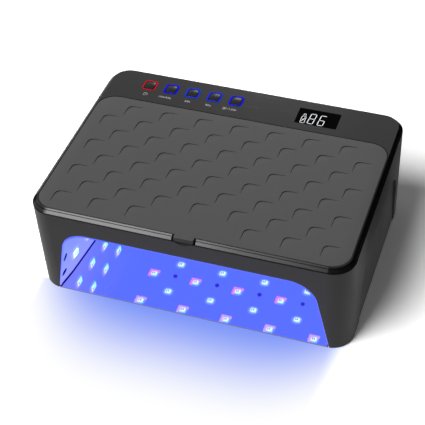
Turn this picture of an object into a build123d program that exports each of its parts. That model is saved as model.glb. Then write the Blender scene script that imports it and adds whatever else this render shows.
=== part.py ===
"""A rechargeable nail lamp with a lift-off hand rest, push buttons and a mirror base plate.

Millimetres. X is the lamp's width, -Y is its open front and +Z is up. The origin is at the
centre of the base, on the surface that the lamp stands on.
"""
import os
from math import atan, cos, radians, sin, tan

from build123d import *

# Case
WIDTH = 270.0
DEPTH = 205.0
HEIGHT = 96.6
BEVEL = 3.8
SEAM = HEIGHT - BEVEL
CORNER_RADIUS = 19.0
BASE_HALF_WIDTH = 135.6
FRONT_SLANT = 9.3
WALL = 2.5
RIM_BOTTOM = 0.6
SHADOW_GAP = 0.4
SHADOW_DEPTH = 0.8
SHELL_TOP = SEAM - SHADOW_GAP
EDGE_RADIUS = 0.5
FIT = 0.2
PAST = 1.0

# Mouth of the hand chamber, in the slanted front face
MOUTH_HALF_WIDTH = 119.0
MOUTH_HEIGHT = 74.5
MOUTH_RADIUS = 24.0
MOUTH_LEAN = 10.7
MOUTH_EDGE = 0.6

# Grip recess in each side, deepest at its top
GRIP_TOP = 53.0
GRIP_TOP_REAR = 57.5
GRIP_FRONT = -54.0
GRIP_REAR = 72.0
GRIP_RADIUS = 20.0
GRIP_DEPTH = 2.7
GRIP_FOOT_DEPTH = 0.7
GRIP_EDGE_SLOPE = 45.0
GRIP_EDGE_RADIUS = 1.2
GRIP_BACKING = 2.2
BELOW = 10.0

# Finger scoop under the hand rest's tab
SCOOP_RADIUS = 11.5
SCOOP_Y = -DEPTH / 2 - 3.0
SCOOP_Z = 100.5
SCOOP_BACKING = ((-12.0, -100.6, 84.5), (12.0, -96.0, SEAM - 2.0))

# Hand rest
PAD_HALF_WIDTH = 130.6
PAD_FRONT = -98.1
PAD_REAR = 57.7
PAD_RADIUS = 16.4
PAD_THICKNESS = 2.0
CARRIER_THICKNESS = 1.6
PAD_GAP = 0.3
REST_FLOOR = HEIGHT - PAD_THICKNESS - CARRIER_THICKNESS
REST_PLATE = 2.0
TAB_HALF_WIDTH = 8.5
TAB_FRONT = -102.2
TAB_LIP = 0.7
TAB_EDGE = 1.4
TAB_ROOT = 5.0
NOTCH_HALF_WIDTH = 10.0

# Tile relief of the pad: apex is a tile's rear left corner
TILE_WIDTH = 15.6
TILE_LENGTH = 16.8
TILE_DEPTH = 0.9
TILE_RADIUS = 5.0
TILE_PITCH_X = 32.15
TILE_PITCH_Y = 17.65
TILE_FIRST_X = -102.3
TILE_FIRST_Y = 48.1
TILE_ROWS = 8
TILE_COLUMNS = 7
BARE_TILES = ((7, 3), (7, 4))

# Control strip
STRIP_THICKNESS = 2.4
STRIP_UNDERSIDE = HEIGHT - STRIP_THICKNESS
STRIP_HOLLOW_HALF = WIDTH / 2 - 5.5
STRIP_HOLLOW_FRONT = PAD_REAR + 2.6
STRIP_HOLLOW_REAR = DEPTH / 2 - 4.5
STRIP_HOLLOW_RADIUS = 14.0
BUTTON_X = (-94.7, -74.4, -54.1, -33.8, -13.5)
BUTTON_Y = 81.0
RING_WIDTH = 12.4
RING_LENGTH = 14.2
RING_RADIUS = 3.2
RING_BAND = 1.2
RING_TOP = HEIGHT + 0.2
CAP_GAP = 0.5
CAP_TOP = HEIGHT + 0.7
CAP_CROWN = 30.0
CAP_EDGE = 0.4
CAP_BOTTOM = 91.2
CAP_FLANGE = 1.3
CAP_FLANGE_REACH = 1.0
GUIDE_THICKNESS = 1.6
GUIDE_LENGTH = 22.0
GUIDE_MARGIN = 10.0
GUIDE_GAP = 0.15
GUIDE_RADIUS = 2.0
BUTTON_TRAVEL = 0.6
WINDOW_CENTRE = (61.6, 77.3)
WINDOW_WIDTH = 36.8
WINDOW_LENGTH = 21.4
WINDOW_RADIUS = 1.0
WINDOW_FLANGE = 1.5
WINDOW_FLANGE_THICKNESS = 0.8

# Control board, hung from the top cover on posts
BOARD = 1.6
BOARD_RADIUS = 2.0
CONTROL_TOP = 86.5
CONTROL_LEFT = -114.0
CONTROL_RIGHT = 93.0
CONTROL_FRONT = 66.0
CONTROL_REAR = 94.0
CONTROL_POSTS = ((-110.5, 70.0), (-110.5, 90.0), (10.0, 70.0), (10.0, 90.0), (88.5, 78.0))
SWITCH_SIZE = 6.0
SWITCH_HEIGHT = 3.5
SWITCH_GAP = 0.1
SWITCH_RADIUS = 0.5
STEM_RADIUS = 1.7

# Hand chamber
LINER = 1.5
LIP = 1.3
CHAMBER_FLOOR = 2.8
CHAMBER_HEIGHT = 80.0
CHAMBER_LEAN = 3.0
CHAMBER_RADIUS = 12.0
CHAMBER_UPRIGHT_RADIUS = 8.0
THROAT_INSET = WALL + 0.8
LINER_FRONT_INSET = 0.3
CHAMBER_FRONT_Y = -73.0
CHAMBER_FRONT_HALF = 114.5
CHAMBER_BACK_Y = 56.0
CHAMBER_BACK_HALF = 103.5
CHAMBER_END_Y = 66.0
CHAMBER_END_INSET = 9.0

# Lamp beads
BEAD = 7.4
BEAD_RADIUS = 1.2
BEAD_PROUD = 1.2
BEAD_HOLE_GAP = 0.2
ARRAY_X = 6.0
ARRAY_PITCH_X = 41.6
ARRAY_PITCH_Y = 18.7
ARRAY_FIRST_Y = 36.7
ARRAY_ROWS = 6
SIDE_BEADS = ((-68, 20), (-43, 20), (-18, 20), (-48, 45), (-23, 45), (3, 45))
REAR_BEAD_X = (-64, -32, 0, 32, 64)
REAR_BEAD_Z = 40.0
SENSOR_Y = (-89.5, -88.8)
SENSOR_Z = (34.5, 15.5)
SENSOR_RADIUS = 2.1
SENSOR_INSET = 0.6
SENSOR_LENGTH = 5.0
DOT_Y = 20.0
DOT_X = tuple(ARRAY_X + ARRAY_PITCH_X * step for step in (-1.5, -0.5, 0.5, 1.5))

# Boards behind the liner
LED_BOARD = 1.6
LED_BOARD_TOP = CHAMBER_HEIGHT + LINER + LED_BOARD
CEILING_BOARD_SIZE = (188.0, 118.0)
CEILING_BOARD_Y = -10.0
SIDE_BOARD = 1.2
SIDE_BOARD_GAP = 0.05
SIDE_BOARD_Y = (-72.5, 14.0)
SIDE_BOARD_Z = (10.0, 56.0)
REAR_BOARD_SIZE = (148.0, 16.0)

# Base plate
PLATE_BOTTOM = 0.8
PLATE_TOP = 2.0
PLATE_HALF_WIDTH = 131.6
PLATE_REAR = 99.4
PLATE_FRONT = -89.8
PLATE_RADIUS = 14.0
TONGUE_FRONT_GAP = -0.2
TONGUE_HALF_WIDTH = 118.1
FOOT_RADIUS = 7.0
FOOT_CENTRES = ((-105.0, -72.0), (105.0, -72.0), (-105.0, 82.0), (105.0, 82.0))
MAGNET_RADIUS = 4.0
MAGNET_HEIGHT = 2.5
MAGNET_BOSS = 6.0
MAGNET_BOSS_TOP = 8.0
MAGNET_CENTRES = ((-124.5, -74.0), (124.5, -74.0), (-121.5, 86.0), (121.5, 86.0))

# Posts and screws
CASE_POSTS = ((-123.0, -66.0), (123.0, -66.0), (-123.0, 12.0), (123.0, 12.0),
              (-123.0, 86.0), (123.0, 86.0))
CASE_POST_RADIUS = 4.0
CASE_POST_SPLIT = 80.0
CASE_POST_BOTTOM = 70.0
CASE_SCREW_HOLE = 1.7
CASE_SCREW_BITE = 8.0
CONTROL_POST_RADIUS = 2.8
DOT_POST_RADIUS = 3.2
MAIN_POST_RADIUS = 3.0
TRAY_POST_RADIUS = 3.5
RIB = 3.0
PILOT_HOLE = 1.3
SMALL_PILOT_HOLE = 1.05
CLEARANCE_HOLE = 1.5
SCREW_BITE = 6.0

# Each screw as its head's radius and height and its shank's radius
CASE_SCREW = (3.0, 2.0, 1.25)
LINER_SCREW = (1.9, 1.0, 1.25)
BOARD_SCREW = (2.6, 1.6, 1.2)
TRAY_SCREW = (2.6, 1.8, 1.2)
SMALL_SCREW = (2.2, 1.4, 1.0)

# Battery
CELL_RADIUS = 9.2
CELL_LENGTH = 65.2
CELL_LEFT = -110.5
CELL_Y = 85.0
CELL_Z = (14.2, 32.8)
CELL_NUB = (3.0, 0.4)
CELL_STEP = CELL_LENGTH + 1.0
CELL_ROOM = 0.5
CELL_GAP = 0.3
TRAY_WALL = 1.8
TRAY_TOP = 45.0
TRAY_SCREW_Z = 24.0
TRAY_LUG_REACH = 8.0
TRAY_LUG_HALF = 6.0
TRAY_SCREW_BITE = 2.0

# Main board, upright behind the chamber on the right
MAIN_LEFT = 38.0
MAIN_RIGHT = 115.0
MAIN_BOTTOM = 10.0
MAIN_TOP = 70.0
MAIN_REAR = 89.6
MAIN_POSTS = ((43.0, 15.0), (110.0, 15.0), (43.0, 65.0), (110.0, 65.0))

# Components on the main board's front. Round ones: X, Z, radius, height
ROUND_COMPONENTS = ((60, 40, 8, 9), (84, 48, 4, 12), (94, 48, 4, 12), (104, 48, 4, 12))

# Flat ones: lowest X and Z, highest X and Z, height
FLAT_COMPONENTS = (((78, 24), (92, 36), 2.2), ((98, 22), (106, 34), 2.2), ((50, 56), (66, 64), 7),
                   ((90, 58), (106, 66), 7), ((58, 14), (68, 22), 7))

# Charging socket
SOCKET_X = 80.0
SOCKET_Z = 28.0
SOCKET_NOSE = 5.4
SOCKET_BORE = 3.2
SOCKET_DEPTH = 9.5
SOCKET_PIN = 1.2
SOCKET_REAR = DEPTH / 2 - 0.2
SOCKET_BODY_HALF = (7.0, 6.5)

# Leads inside the case
LEAD_RADIUS = 1.2
LED_SOCKET_X = 92.0
LED_SOCKET_REAR = 46.0
LED_SOCKET_SIZE = (8.0, 8.0, 5.0)
LEAD_Y = MAIN_REAR - BOARD - 3.5
LEAD_BEND = 6.0
SHORT_LEAD_BEND = 5.0
BATTERY_LEAD_END = ((36.0, CELL_Y, 38.0), (44.0, LEAD_Y, 18.0), (58.0, LEAD_Y, 18.0))
CONTROL_LEAD = ((58.0, LEAD_Y, 64.0), (58.0, LEAD_Y, 72.0), (50.0, LEAD_Y, 78.0),
                (50.0, LEAD_Y, CONTROL_TOP - BOARD))
CEILING_LEAD_Z = LED_BOARD_TOP + LED_SOCKET_SIZE[2] / 2
CEILING_LEAD = ((98.0, LEAD_Y, 66.0), (98.0, LEAD_Y, 76.0), (98.0, 72.0, CEILING_LEAD_Z),
                (LED_SOCKET_X, 60.0, CEILING_LEAD_Z),
                (LED_SOCKET_X, LED_SOCKET_REAR, CEILING_LEAD_Z))

FRONT_ANGLE = atan(FRONT_SLANT / (SEAM - RIM_BOTTOM))
FRONT_FOOT = -DEPTH / 2 + FRONT_SLANT + RIM_BOTTOM * tan(FRONT_ANGLE)
LEAN_SLOPE = tan(radians(CHAMBER_LEAN))
SPLAY_SLOPE = (CHAMBER_FRONT_HALF - CHAMBER_BACK_HALF) / (CHAMBER_BACK_Y - CHAMBER_FRONT_Y)


def slab(width, length, radius, bottom, top, centre=(0.0, 0.0)):
    """A rounded rectangle seen from above, between two heights."""
    base = Plane((centre[0], centre[1], bottom))
    return extrude(base * RectangleRounded(width, length, radius), top - bottom)


def slab_between(half_width, front, rear, radius, bottom, top):
    """A slab centred on X that runs from a front Y to a rear Y."""
    return slab(2 * half_width, rear - front, radius, bottom, top, (0, (front + rear) / 2))


def block(low, high):
    """A plain box between two corners."""
    size = [b - a for a, b in zip(low, high)]
    middle = [(a + b) / 2 for a, b in zip(low, high)]
    return Pos(*middle) * Box(*size)


def column(centre, radius, bottom, top):
    """An upright cylinder."""
    return extrude(Plane((centre[0], centre[1], bottom)) * Circle(radius), top - bottom)


def rod(x, z, radius, front, rear):
    """A cylinder that lies along Y."""
    return extrude(along_y(rear) * Circle(radius).moved(Location((x, z))), rear - front)


def along_y(rear):
    """The upright plane at one Y, which extrudes towards the front."""
    return Plane((0, rear, 0), x_dir=(1, 0, 0), z_dir=(0, -1, 0))


def both_sides(right):
    """A right-hand piece and its mirror image on the left."""
    return right + mirror(right, Plane.YZ)


def case_body(bottom, top, inset=0.0):
    """The case's body between two heights, its walls moved in by an inset."""
    low, high = -HEIGHT / 4, 5 * HEIGHT / 4
    slant = FRONT_SLANT / (SEAM - RIM_BOTTOM)
    front = [-DEPTH / 2 + inset + (SEAM - z) * slant for z in (low, high)]
    rear = DEPTH / 2 - inset
    profile = Polygon((front[0], low), (rear, low), (rear, high), (front[1], high), align=None)
    body = extrude(Plane.YZ * profile, WIDTH, both=True)
    lean = atan((BASE_HALF_WIDTH - WIDTH / 2) / (SEAM - RIM_BOTTOM))
    for way in (1, -1):
        side = Plane((way * (WIDTH / 2 - inset), 0, SEAM), x_dir=(0, 1, 0),
                     z_dir=(way * cos(lean), 0, sin(lean)))
        body = split(body, bisect_by=side, keep=Keep.BOTTOM)
    uprights = [edge for edge in body.edges() if edge.bounding_box().size.Z > HEIGHT]
    body = fillet(uprights, CORNER_RADIUS - inset)
    body = split(body, bisect_by=Plane((0, 0, bottom)), keep=Keep.TOP)
    return split(body, bisect_by=Plane((0, 0, top)), keep=Keep.BOTTOM)


def arch(half_width, height, lean, radius, floor):
    """A flat-bottomed arch; its sides lean in and arcs join them to a level top."""
    slope = tan(radians(lean))
    foot = half_width - floor * slope
    shoulder = half_width - height * slope
    outline = FilletPolyline((-foot, floor), (-shoulder, height), (shoulder, height),
                             (foot, floor), radius=radius)
    return make_face(outline + Line((foot, floor), (-foot, floor)))


def front_plane(inset):
    """The plane of the slanted front face, moved inwards by an inset."""
    normal = (0, -cos(FRONT_ANGLE), -sin(FRONT_ANGLE))
    return Plane((0, FRONT_FOOT, 0), x_dir=(1, 0, 0), z_dir=normal).offset(-inset)


def mouth(shrink, floor):
    """The mouth's outline in the front plane, made smaller all round."""
    stretch = 1 / cos(FRONT_ANGLE)
    return arch(MOUTH_HALF_WIDTH - shrink, (MOUTH_HEIGHT - shrink) * stretch, MOUTH_LEAN,
                MOUTH_RADIUS - shrink, floor * stretch)


def chamber_room(grow, floor):
    """The hand chamber behind its flare, grown outwards; all its walls lean in alike."""
    front = CHAMBER_FRONT_Y - CHAMBER_RADIUS
    shift = grow - floor * LEAN_SLOPE
    back = CHAMBER_BACK_HALF + shift
    right = [(back + SPLAY_SLOPE * (CHAMBER_BACK_Y - front), front),
             (back, CHAMBER_BACK_Y),
             (back - CHAMBER_END_INSET, CHAMBER_END_Y + shift)]
    left = [(-x, y) for x, y in reversed(right)]
    plan = Plane((0, 0, floor)) * Polygon(*right, *left, align=None)
    room = extrude(plan, CHAMBER_HEIGHT + grow - floor, taper=CHAMBER_LEAN)
    uprights = [edge for edge in room.edges()
                if edge.center().Y > 0 and edge.bounding_box().size.Z > CHAMBER_RADIUS]
    room = fillet(uprights, CHAMBER_UPRIGHT_RADIUS + grow)
    ceiling = room.faces().sort_by(Axis.Z)[-1]
    rim = [edge for edge in ceiling.edges() if edge.center().Y > front + CHAMBER_RADIUS / 2]
    room = fillet(rim, CHAMBER_RADIUS + grow)
    return split(room, bisect_by=Plane((0, CHAMBER_FRONT_Y, 0), z_dir=(0, 1, 0)), keep=Keep.TOP)


def chamber(grow, shrink, floor, front_inset):
    """The whole hand chamber: straight through the front wall, then flared, then the room."""
    room = chamber_room(grow, floor)
    throat = front_plane(THROAT_INSET) * mouth(shrink, floor)
    flare = loft([room.faces().sort_by(Axis.Y)[0], throat.face()], ruled=True)
    return room + flare + extrude(throat, THROAT_INSET - front_inset)


def wall_half_width(y, z):
    """Half the chamber's inner width at one depth and height, behind the flare."""
    return CHAMBER_BACK_HALF + SPLAY_SLOPE * (CHAMBER_BACK_Y - y) - z * LEAN_SLOPE


def side_wall_plane(y, z):
    """A plane on the right-hand chamber wall, its normal pointing out of the chamber."""
    along = Vector(-SPLAY_SLOPE, 1, 0).normalized()
    upward = Vector(-LEAN_SLOPE, 0, 1).normalized()
    outward = along.cross(upward).normalized()
    return Plane((wall_half_width(y, z), y, z), x_dir=along, z_dir=outward)


def rear_wall_plane(x, z):
    """A plane on the leaning rear wall of the chamber, its normal pointing out of it."""
    lean = radians(CHAMBER_LEAN)
    return Plane((x, CHAMBER_END_Y - z * LEAN_SLOPE, z), x_dir=(-1, 0, 0),
                 z_dir=(0, cos(lean), sin(lean)))


def wall_x(z):
    """Half the case's width at one height."""
    return WIDTH / 2 + (BASE_HALF_WIDTH - WIDTH / 2) * (SEAM - z) / (SEAM - RIM_BOTTOM)


def grip_profile(grow):
    """The grip recess's face seen from the side, open to the base."""
    front, rear = GRIP_FRONT - grow, GRIP_REAR + grow
    edge = FilletPolyline((rear, -BELOW), (rear, GRIP_TOP_REAR + grow), (front, GRIP_TOP + grow),
                          (front, -BELOW), radius=GRIP_RADIUS + grow)
    return make_face(edge + Line((front, -BELOW), (rear, -BELOW)))


def grip_layer(grow, depth):
    """What lies outside the right-hand recess's face, taken deeper by a depth."""
    floor_x = wall_x(0) - GRIP_FOOT_DEPTH - depth
    top_x = wall_x(GRIP_TOP) - GRIP_DEPTH - depth
    slope = (floor_x - top_x) / GRIP_TOP
    low, high = -BELOW, HEIGHT
    outside = Polygon((floor_x - slope * low, low), (WIDTH, low), (WIDTH, high),
                      (floor_x - slope * high, high), align=None)
    wedge = extrude(along_y(DEPTH) * outside, 2 * DEPTH)
    span = extrude(Plane.YZ.offset(top_x) * grip_profile(grow), BELOW, taper=-GRIP_EDGE_SLOPE)
    return span & wedge


def softened_grips(shell):
    """The shell with each grip recess's outer edge rounded."""
    reach = 2 * GRIP_DEPTH
    edges = []
    for edge in shell.edges():
        middle = edge.center()
        on_wall = abs(abs(middle.X) - wall_x(middle.Z)) < FIT / 2
        along = GRIP_FRONT - reach < middle.Y < GRIP_REAR + reach
        if on_wall and along and PLATE_TOP < middle.Z < GRIP_TOP_REAR + reach:
            edges.append(edge)
    return fillet(edges, GRIP_EDGE_RADIUS)


def ceiling_bead_centres():
    """The ceiling's beads in staggered rows, from the rear to the front."""
    centres = []
    for row in range(ARRAY_ROWS):
        count = 4 if row % 2 == 0 else 5
        y = ARRAY_FIRST_Y - row * ARRAY_PITCH_Y
        for step in range(count):
            centres.append((ARRAY_X + ARRAY_PITCH_X * (step - (count - 1) / 2), y))
    return centres


def bead(size, bottom, top):
    """One square bead or its hole, along local Z."""
    return extrude(Plane((0, 0, bottom)) * RectangleRounded(size, size, BEAD_RADIUS), top - bottom)


def ceiling_places():
    """Where the ceiling's beads sit, with local Z up into the ceiling."""
    return [Location((x, y, CHAMBER_HEIGHT)) for x, y in ceiling_bead_centres()]


def side_places():
    """Where the right-hand wall's beads sit, with local Z out of the chamber."""
    return [side_wall_plane(y, z).location for y, z in SIDE_BEADS]


def rear_places():
    """Where the rear wall's beads sit, with local Z to the rear."""
    return [rear_wall_plane(x, REAR_BEAD_Z).location for x in REAR_BEAD_X]


def set_at(places, piece):
    """One solid copied to each place."""
    copies = [piece.moved(place) for place in places]
    return Part() + copies


def sensor_places():
    """Where the right-hand sensors sit in the flare, with local Z to the right."""
    places = []
    for y, z in zip(SENSOR_Y, SENSOR_Z):
        inner = CHAMBER_FRONT_HALF - z * LEAN_SLOPE
        outer = MOUTH_HALF_WIDTH - FIT - LIP - z * tan(radians(MOUTH_LEAN))
        throat_y = FRONT_FOOT + THROAT_INSET - z * tan(FRONT_ANGLE)
        share = (CHAMBER_FRONT_Y - y) / (CHAMBER_FRONT_Y - throat_y)
        x = inner + share * (outer - inner)
        places.append(Plane((x, y, z), x_dir=(0, 1, 0), z_dir=(1, 0, 0)).location)
    return places


def screw(size, length):
    """A screw whose head's top is at the local origin, with its shank up local Z."""
    head_radius, head_height, shank_radius = size
    head = extrude(Plane.XY * Circle(head_radius), head_height)
    shank = extrude(Plane((0, 0, head_height)) * Circle(shank_radius), length)
    return head + shank


def rib_to_side(x, y, bottom, top):
    """A rib from a boss into the nearer side wall."""
    reach = WIDTH / 2 - WALL / 5
    end = reach if x > 0 else -reach
    return block((min(x, end), y - RIB / 2, bottom), (max(x, end), y + RIB / 2, top))


def softened_mouth(shell):
    """The shell with the mouth's outer edge rounded."""
    face = front_plane(0)
    edges = []
    for edge in shell.edges():
        middle = edge.center()
        outline = MOUTH_HALF_WIDTH - middle.Z * tan(radians(MOUTH_LEAN))
        beside = abs(abs(middle.X) - outline) < MOUTH_EDGE
        above = middle.Z > MOUTH_HEIGHT - MOUTH_RADIUS and abs(middle.X) < outline
        near_face = abs(face.to_local_coords(middle).Z) < MOUTH_EDGE
        if near_face and middle.Z < MOUTH_HEIGHT + FIT and (beside or above):
            edges.append(edge)
    return fillet(edges, MOUTH_EDGE)


def outer_shell():
    """The one-piece wall of the case."""
    inside_rear = DEPTH / 2 - WALL
    body = case_body(RIM_BOTTOM, SHELL_TOP)
    hollow = case_body(RIM_BOTTOM - 2 * PAST, SHELL_TOP + 2 * PAST, WALL)
    backing = grip_layer(GRIP_BACKING, GRIP_BACKING) & body
    shell = (body - hollow) + both_sides(backing)
    shell -= both_sides(grip_layer(0.0, 0.0))
    shell = softened_grips(shell)
    shadow_line = slab(WIDTH + PAST, DEPTH + PAST, CORNER_RADIUS, SHELL_TOP - SHADOW_GAP,
                       SHELL_TOP + FIT)
    shell -= shadow_line - case_body(SHELL_TOP - PAST, SHELL_TOP + PAST, SHADOW_DEPTH)
    shell -= extrude(front_plane(-BELOW) * mouth(0, -2 * BELOW), -4 * BELOW)
    shell = softened_mouth(shell)
    shell += block(*SCOOP_BACKING)
    shell -= Pos(0, SCOOP_Y, SCOOP_Z) * Sphere(SCOOP_RADIUS)
    for x, y in MAGNET_CENTRES:
        shell += column((x, y), MAGNET_BOSS, PLATE_TOP, MAGNET_BOSS_TOP)
        shell += rib_to_side(x, y, PLATE_TOP, MAGNET_BOSS_TOP)
        shell -= column((x, y), MAGNET_RADIUS, PLATE_TOP - PAST, PLATE_TOP + MAGNET_HEIGHT)
    for x, y in CASE_POSTS:
        shell += column((x, y), CASE_POST_RADIUS, CASE_POST_BOTTOM, CASE_POST_SPLIT)
        shell += rib_to_side(x, y, CASE_POST_BOTTOM, CASE_POST_SPLIT)
        shell -= column((x, y), CASE_SCREW_HOLE, CASE_POST_BOTTOM - PAST, CASE_POST_SPLIT + PAST)
    for x, z in MAIN_POSTS:
        shell += rod(x, z, MAIN_POST_RADIUS, MAIN_REAR, inside_rear + WALL / 5)
        shell -= rod(x, z, PILOT_HOLE, MAIN_REAR - PAST, MAIN_REAR + SCREW_BITE)
    for x, z in tray_screw_places():
        shell += rod(x, z, TRAY_POST_RADIUS, tray_rear(), inside_rear + WALL / 5)
        shell -= rod(x, z, PILOT_HOLE, tray_rear() - PAST, tray_rear() + TRAY_SCREW_BITE + FIT)
    shell -= rod(SOCKET_X, SOCKET_Z, SOCKET_NOSE + FIT, inside_rear - PAST, DEPTH / 2 + PAST)
    return shell


def cover_rim():
    """The cover's outer block, bevelled all round, with both edges of the bevel softened."""
    rim = slab(WIDTH, DEPTH, CORNER_RADIUS, SHELL_TOP, HEIGHT)
    rim = chamfer(rim.faces().sort_by(Axis.Z)[-1].edges(), BEVEL)
    rim = fillet(rim.faces().sort_by(Axis.Z)[-1].edges(), EDGE_RADIUS)
    corner_line = [edge for edge in rim.edges() if abs(edge.center().Z - SEAM) < FIT / 2]
    return fillet(corner_line, EDGE_RADIUS)


def top_cover():
    """The bevelled rim, the hand rest's recess and the control strip, in one piece."""
    inset = WALL + 2 * FIT
    cover = cover_rim()
    cover += slab(WIDTH - 2 * inset, DEPTH - 2 * inset, CORNER_RADIUS - inset,
                  REST_FLOOR - REST_PLATE, SEAM)
    cover -= slab_between(PAD_HALF_WIDTH + PAD_GAP, PAD_FRONT - PAD_GAP, PAD_REAR + PAD_GAP,
                          PAD_RADIUS + PAD_GAP, REST_FLOOR, HEIGHT + PAST)
    cover -= slab_between(STRIP_HOLLOW_HALF, STRIP_HOLLOW_FRONT, STRIP_HOLLOW_REAR,
                          STRIP_HOLLOW_RADIUS, REST_FLOOR - REST_PLATE - PAST, STRIP_UNDERSIDE)
    cover -= block((-NOTCH_HALF_WIDTH, -DEPTH / 2 - PAST, SEAM),
                   (NOTCH_HALF_WIDTH, PAD_FRONT + PAST, HEIGHT + PAST))
    cover -= Pos(0, SCOOP_Y, SCOOP_Z) * Sphere(SCOOP_RADIUS)
    for x in BUTTON_X:
        cover -= slab(RING_WIDTH + 2 * FIT, RING_LENGTH + 2 * FIT, RING_RADIUS + FIT,
                      STRIP_UNDERSIDE - PAST, HEIGHT + PAST, (x, BUTTON_Y))
    cover -= slab(WINDOW_WIDTH + 2 * FIT, WINDOW_LENGTH + 2 * FIT, WINDOW_RADIUS + FIT,
                  STRIP_UNDERSIDE - PAST, HEIGHT + PAST, WINDOW_CENTRE)
    for x, y in CASE_POSTS:
        ceiling = STRIP_UNDERSIDE if y > PAD_REAR else REST_FLOOR - REST_PLATE / 2
        cover += column((x, y), CASE_POST_RADIUS, CASE_POST_SPLIT, ceiling + FIT)
        cover -= column((x, y), PILOT_HOLE, CASE_POST_SPLIT - PAST,
                        CASE_POST_SPLIT + CASE_SCREW_BITE + PAST)
    for x, y in CONTROL_POSTS:
        cover += column((x, y), CONTROL_POST_RADIUS, CONTROL_TOP, STRIP_UNDERSIDE + FIT)
        cover -= column((x, y), SMALL_PILOT_HOLE, CONTROL_TOP - PAST, CONTROL_TOP + SCREW_BITE)
    for x in DOT_X:
        cover += column((x, DOT_Y), DOT_POST_RADIUS, LED_BOARD_TOP, REST_FLOOR - REST_PLATE / 2)
        cover -= column((x, DOT_Y), PILOT_HOLE, LED_BOARD_TOP - PAST, LED_BOARD_TOP + SCREW_BITE)
    return cover


def hand_rest_carrier():
    """The stiff plate under the pad, with the tab that a finger lifts."""
    plate = slab_between(PAD_HALF_WIDTH, PAD_FRONT, PAD_REAR, PAD_RADIUS, REST_FLOOR,
                         REST_FLOOR + CARRIER_THICKNESS)
    tab = block((-TAB_HALF_WIDTH, TAB_FRONT + TAB_LIP, REST_FLOOR),
                (TAB_HALF_WIDTH, PAD_FRONT + TAB_ROOT, REST_FLOOR + CARRIER_THICKNESS))
    return plate + tab


def tile_tool():
    """Cuts one tile: deepest at its rear left corner and flush along the other diagonal."""
    corner = FilletPolyline((0, -TILE_LENGTH), (0, 0), (TILE_WIDTH, 0), radius=TILE_RADIUS)
    cell = make_face(corner + Line((TILE_WIDTH, 0), (0, -TILE_LENGTH)))
    tool = extrude(Plane((0, 0, -TILE_DEPTH * 2)) * cell, TILE_DEPTH * 4)
    slope_x = Vector(TILE_WIDTH, 0, TILE_DEPTH)
    slope_y = Vector(0, -TILE_LENGTH, TILE_DEPTH)
    floor = Plane((0, 0, -TILE_DEPTH), x_dir=slope_x, z_dir=slope_y.cross(slope_x))
    return split(tool, bisect_by=floor, keep=Keep.TOP)


def tile_corners():
    """The rear left corner of every tile; odd rows are set over by half a pitch."""
    corners = []
    for row in range(TILE_ROWS):
        odd = row % 2
        for column_number in range(TILE_COLUMNS + odd):
            if (row, column_number) in BARE_TILES:
                continue
            x = TILE_FIRST_X + TILE_PITCH_X * (column_number - odd / 2)
            corners.append((x, TILE_FIRST_Y - TILE_PITCH_Y * row))
    return corners


def hand_rest_pad():
    """The soft pad with its tile relief, and a tab that wraps over the carrier's."""
    bottom = REST_FLOOR + CARRIER_THICKNESS
    pad = slab_between(PAD_HALF_WIDTH, PAD_FRONT, PAD_REAR, PAD_RADIUS, bottom, HEIGHT)
    tab = block((-TAB_HALF_WIDTH, TAB_FRONT, bottom), (TAB_HALF_WIDTH, PAD_FRONT + TAB_ROOT, HEIGHT))
    lip = block((-TAB_HALF_WIDTH, TAB_FRONT, REST_FLOOR),
                (TAB_HALF_WIDTH, TAB_FRONT + TAB_LIP, bottom))
    front_edge = Edge.make_line((-TAB_HALF_WIDTH, TAB_FRONT, HEIGHT),
                                (TAB_HALF_WIDTH, TAB_FRONT, HEIGHT))
    tab = tab + lip
    edges = tab.edges().filter_by(Axis.X).sort_by_distance(front_edge.center())
    tab = fillet(edges[0], TAB_EDGE)
    tiles = [tile_tool().moved(Location((x, y, HEIGHT))) for x, y in tile_corners()]
    return (pad + tab) - tiles


def button_ring(x):
    """The lit ring that frames one button."""
    ring = slab(RING_WIDTH, RING_LENGTH, RING_RADIUS, STRIP_UNDERSIDE, RING_TOP, (x, BUTTON_Y))
    return ring - slab(RING_WIDTH - 2 * RING_BAND, RING_LENGTH - 2 * RING_BAND,
                       RING_RADIUS - RING_BAND, STRIP_UNDERSIDE - PAST, RING_TOP + PAST,
                       (x, BUTTON_Y))


def cap_size():
    """Width, length and corner radius of a button cap."""
    reach = RING_BAND + CAP_GAP
    return RING_WIDTH - 2 * reach, RING_LENGTH - 2 * reach, RING_RADIUS - RING_BAND


def button_cap(x):
    """A domed push button with a flange that stops it under the guide."""
    width, length, radius = cap_size()
    cap = slab(width, length, radius, CAP_BOTTOM, CAP_TOP + PAST, (x, BUTTON_Y))
    cap &= Pos(x, BUTTON_Y, CAP_TOP - CAP_CROWN) * Sphere(CAP_CROWN)
    cap = fillet(cap.faces().sort_by(Axis.Z)[-1].edges(), CAP_EDGE)
    grow = 2 * CAP_FLANGE_REACH
    return cap + slab(width + grow, length + grow, radius, CAP_BOTTOM, CAP_BOTTOM + CAP_FLANGE,
                      (x, BUTTON_Y))


def button_guide():
    """The plate under the strip that the buttons slide in."""
    width, length, radius = cap_size()
    left = BUTTON_X[0] - GUIDE_MARGIN
    right = BUTTON_X[-1] + GUIDE_MARGIN
    guide = slab(right - left, GUIDE_LENGTH, GUIDE_RADIUS, STRIP_UNDERSIDE - GUIDE_THICKNESS,
                 STRIP_UNDERSIDE, ((left + right) / 2, BUTTON_Y))
    for x in BUTTON_X:
        guide -= slab(width + 2 * GUIDE_GAP, length + 2 * GUIDE_GAP, radius + GUIDE_GAP,
                      STRIP_UNDERSIDE - GUIDE_THICKNESS - PAST, HEIGHT, (x, BUTTON_Y))
    return guide


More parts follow.
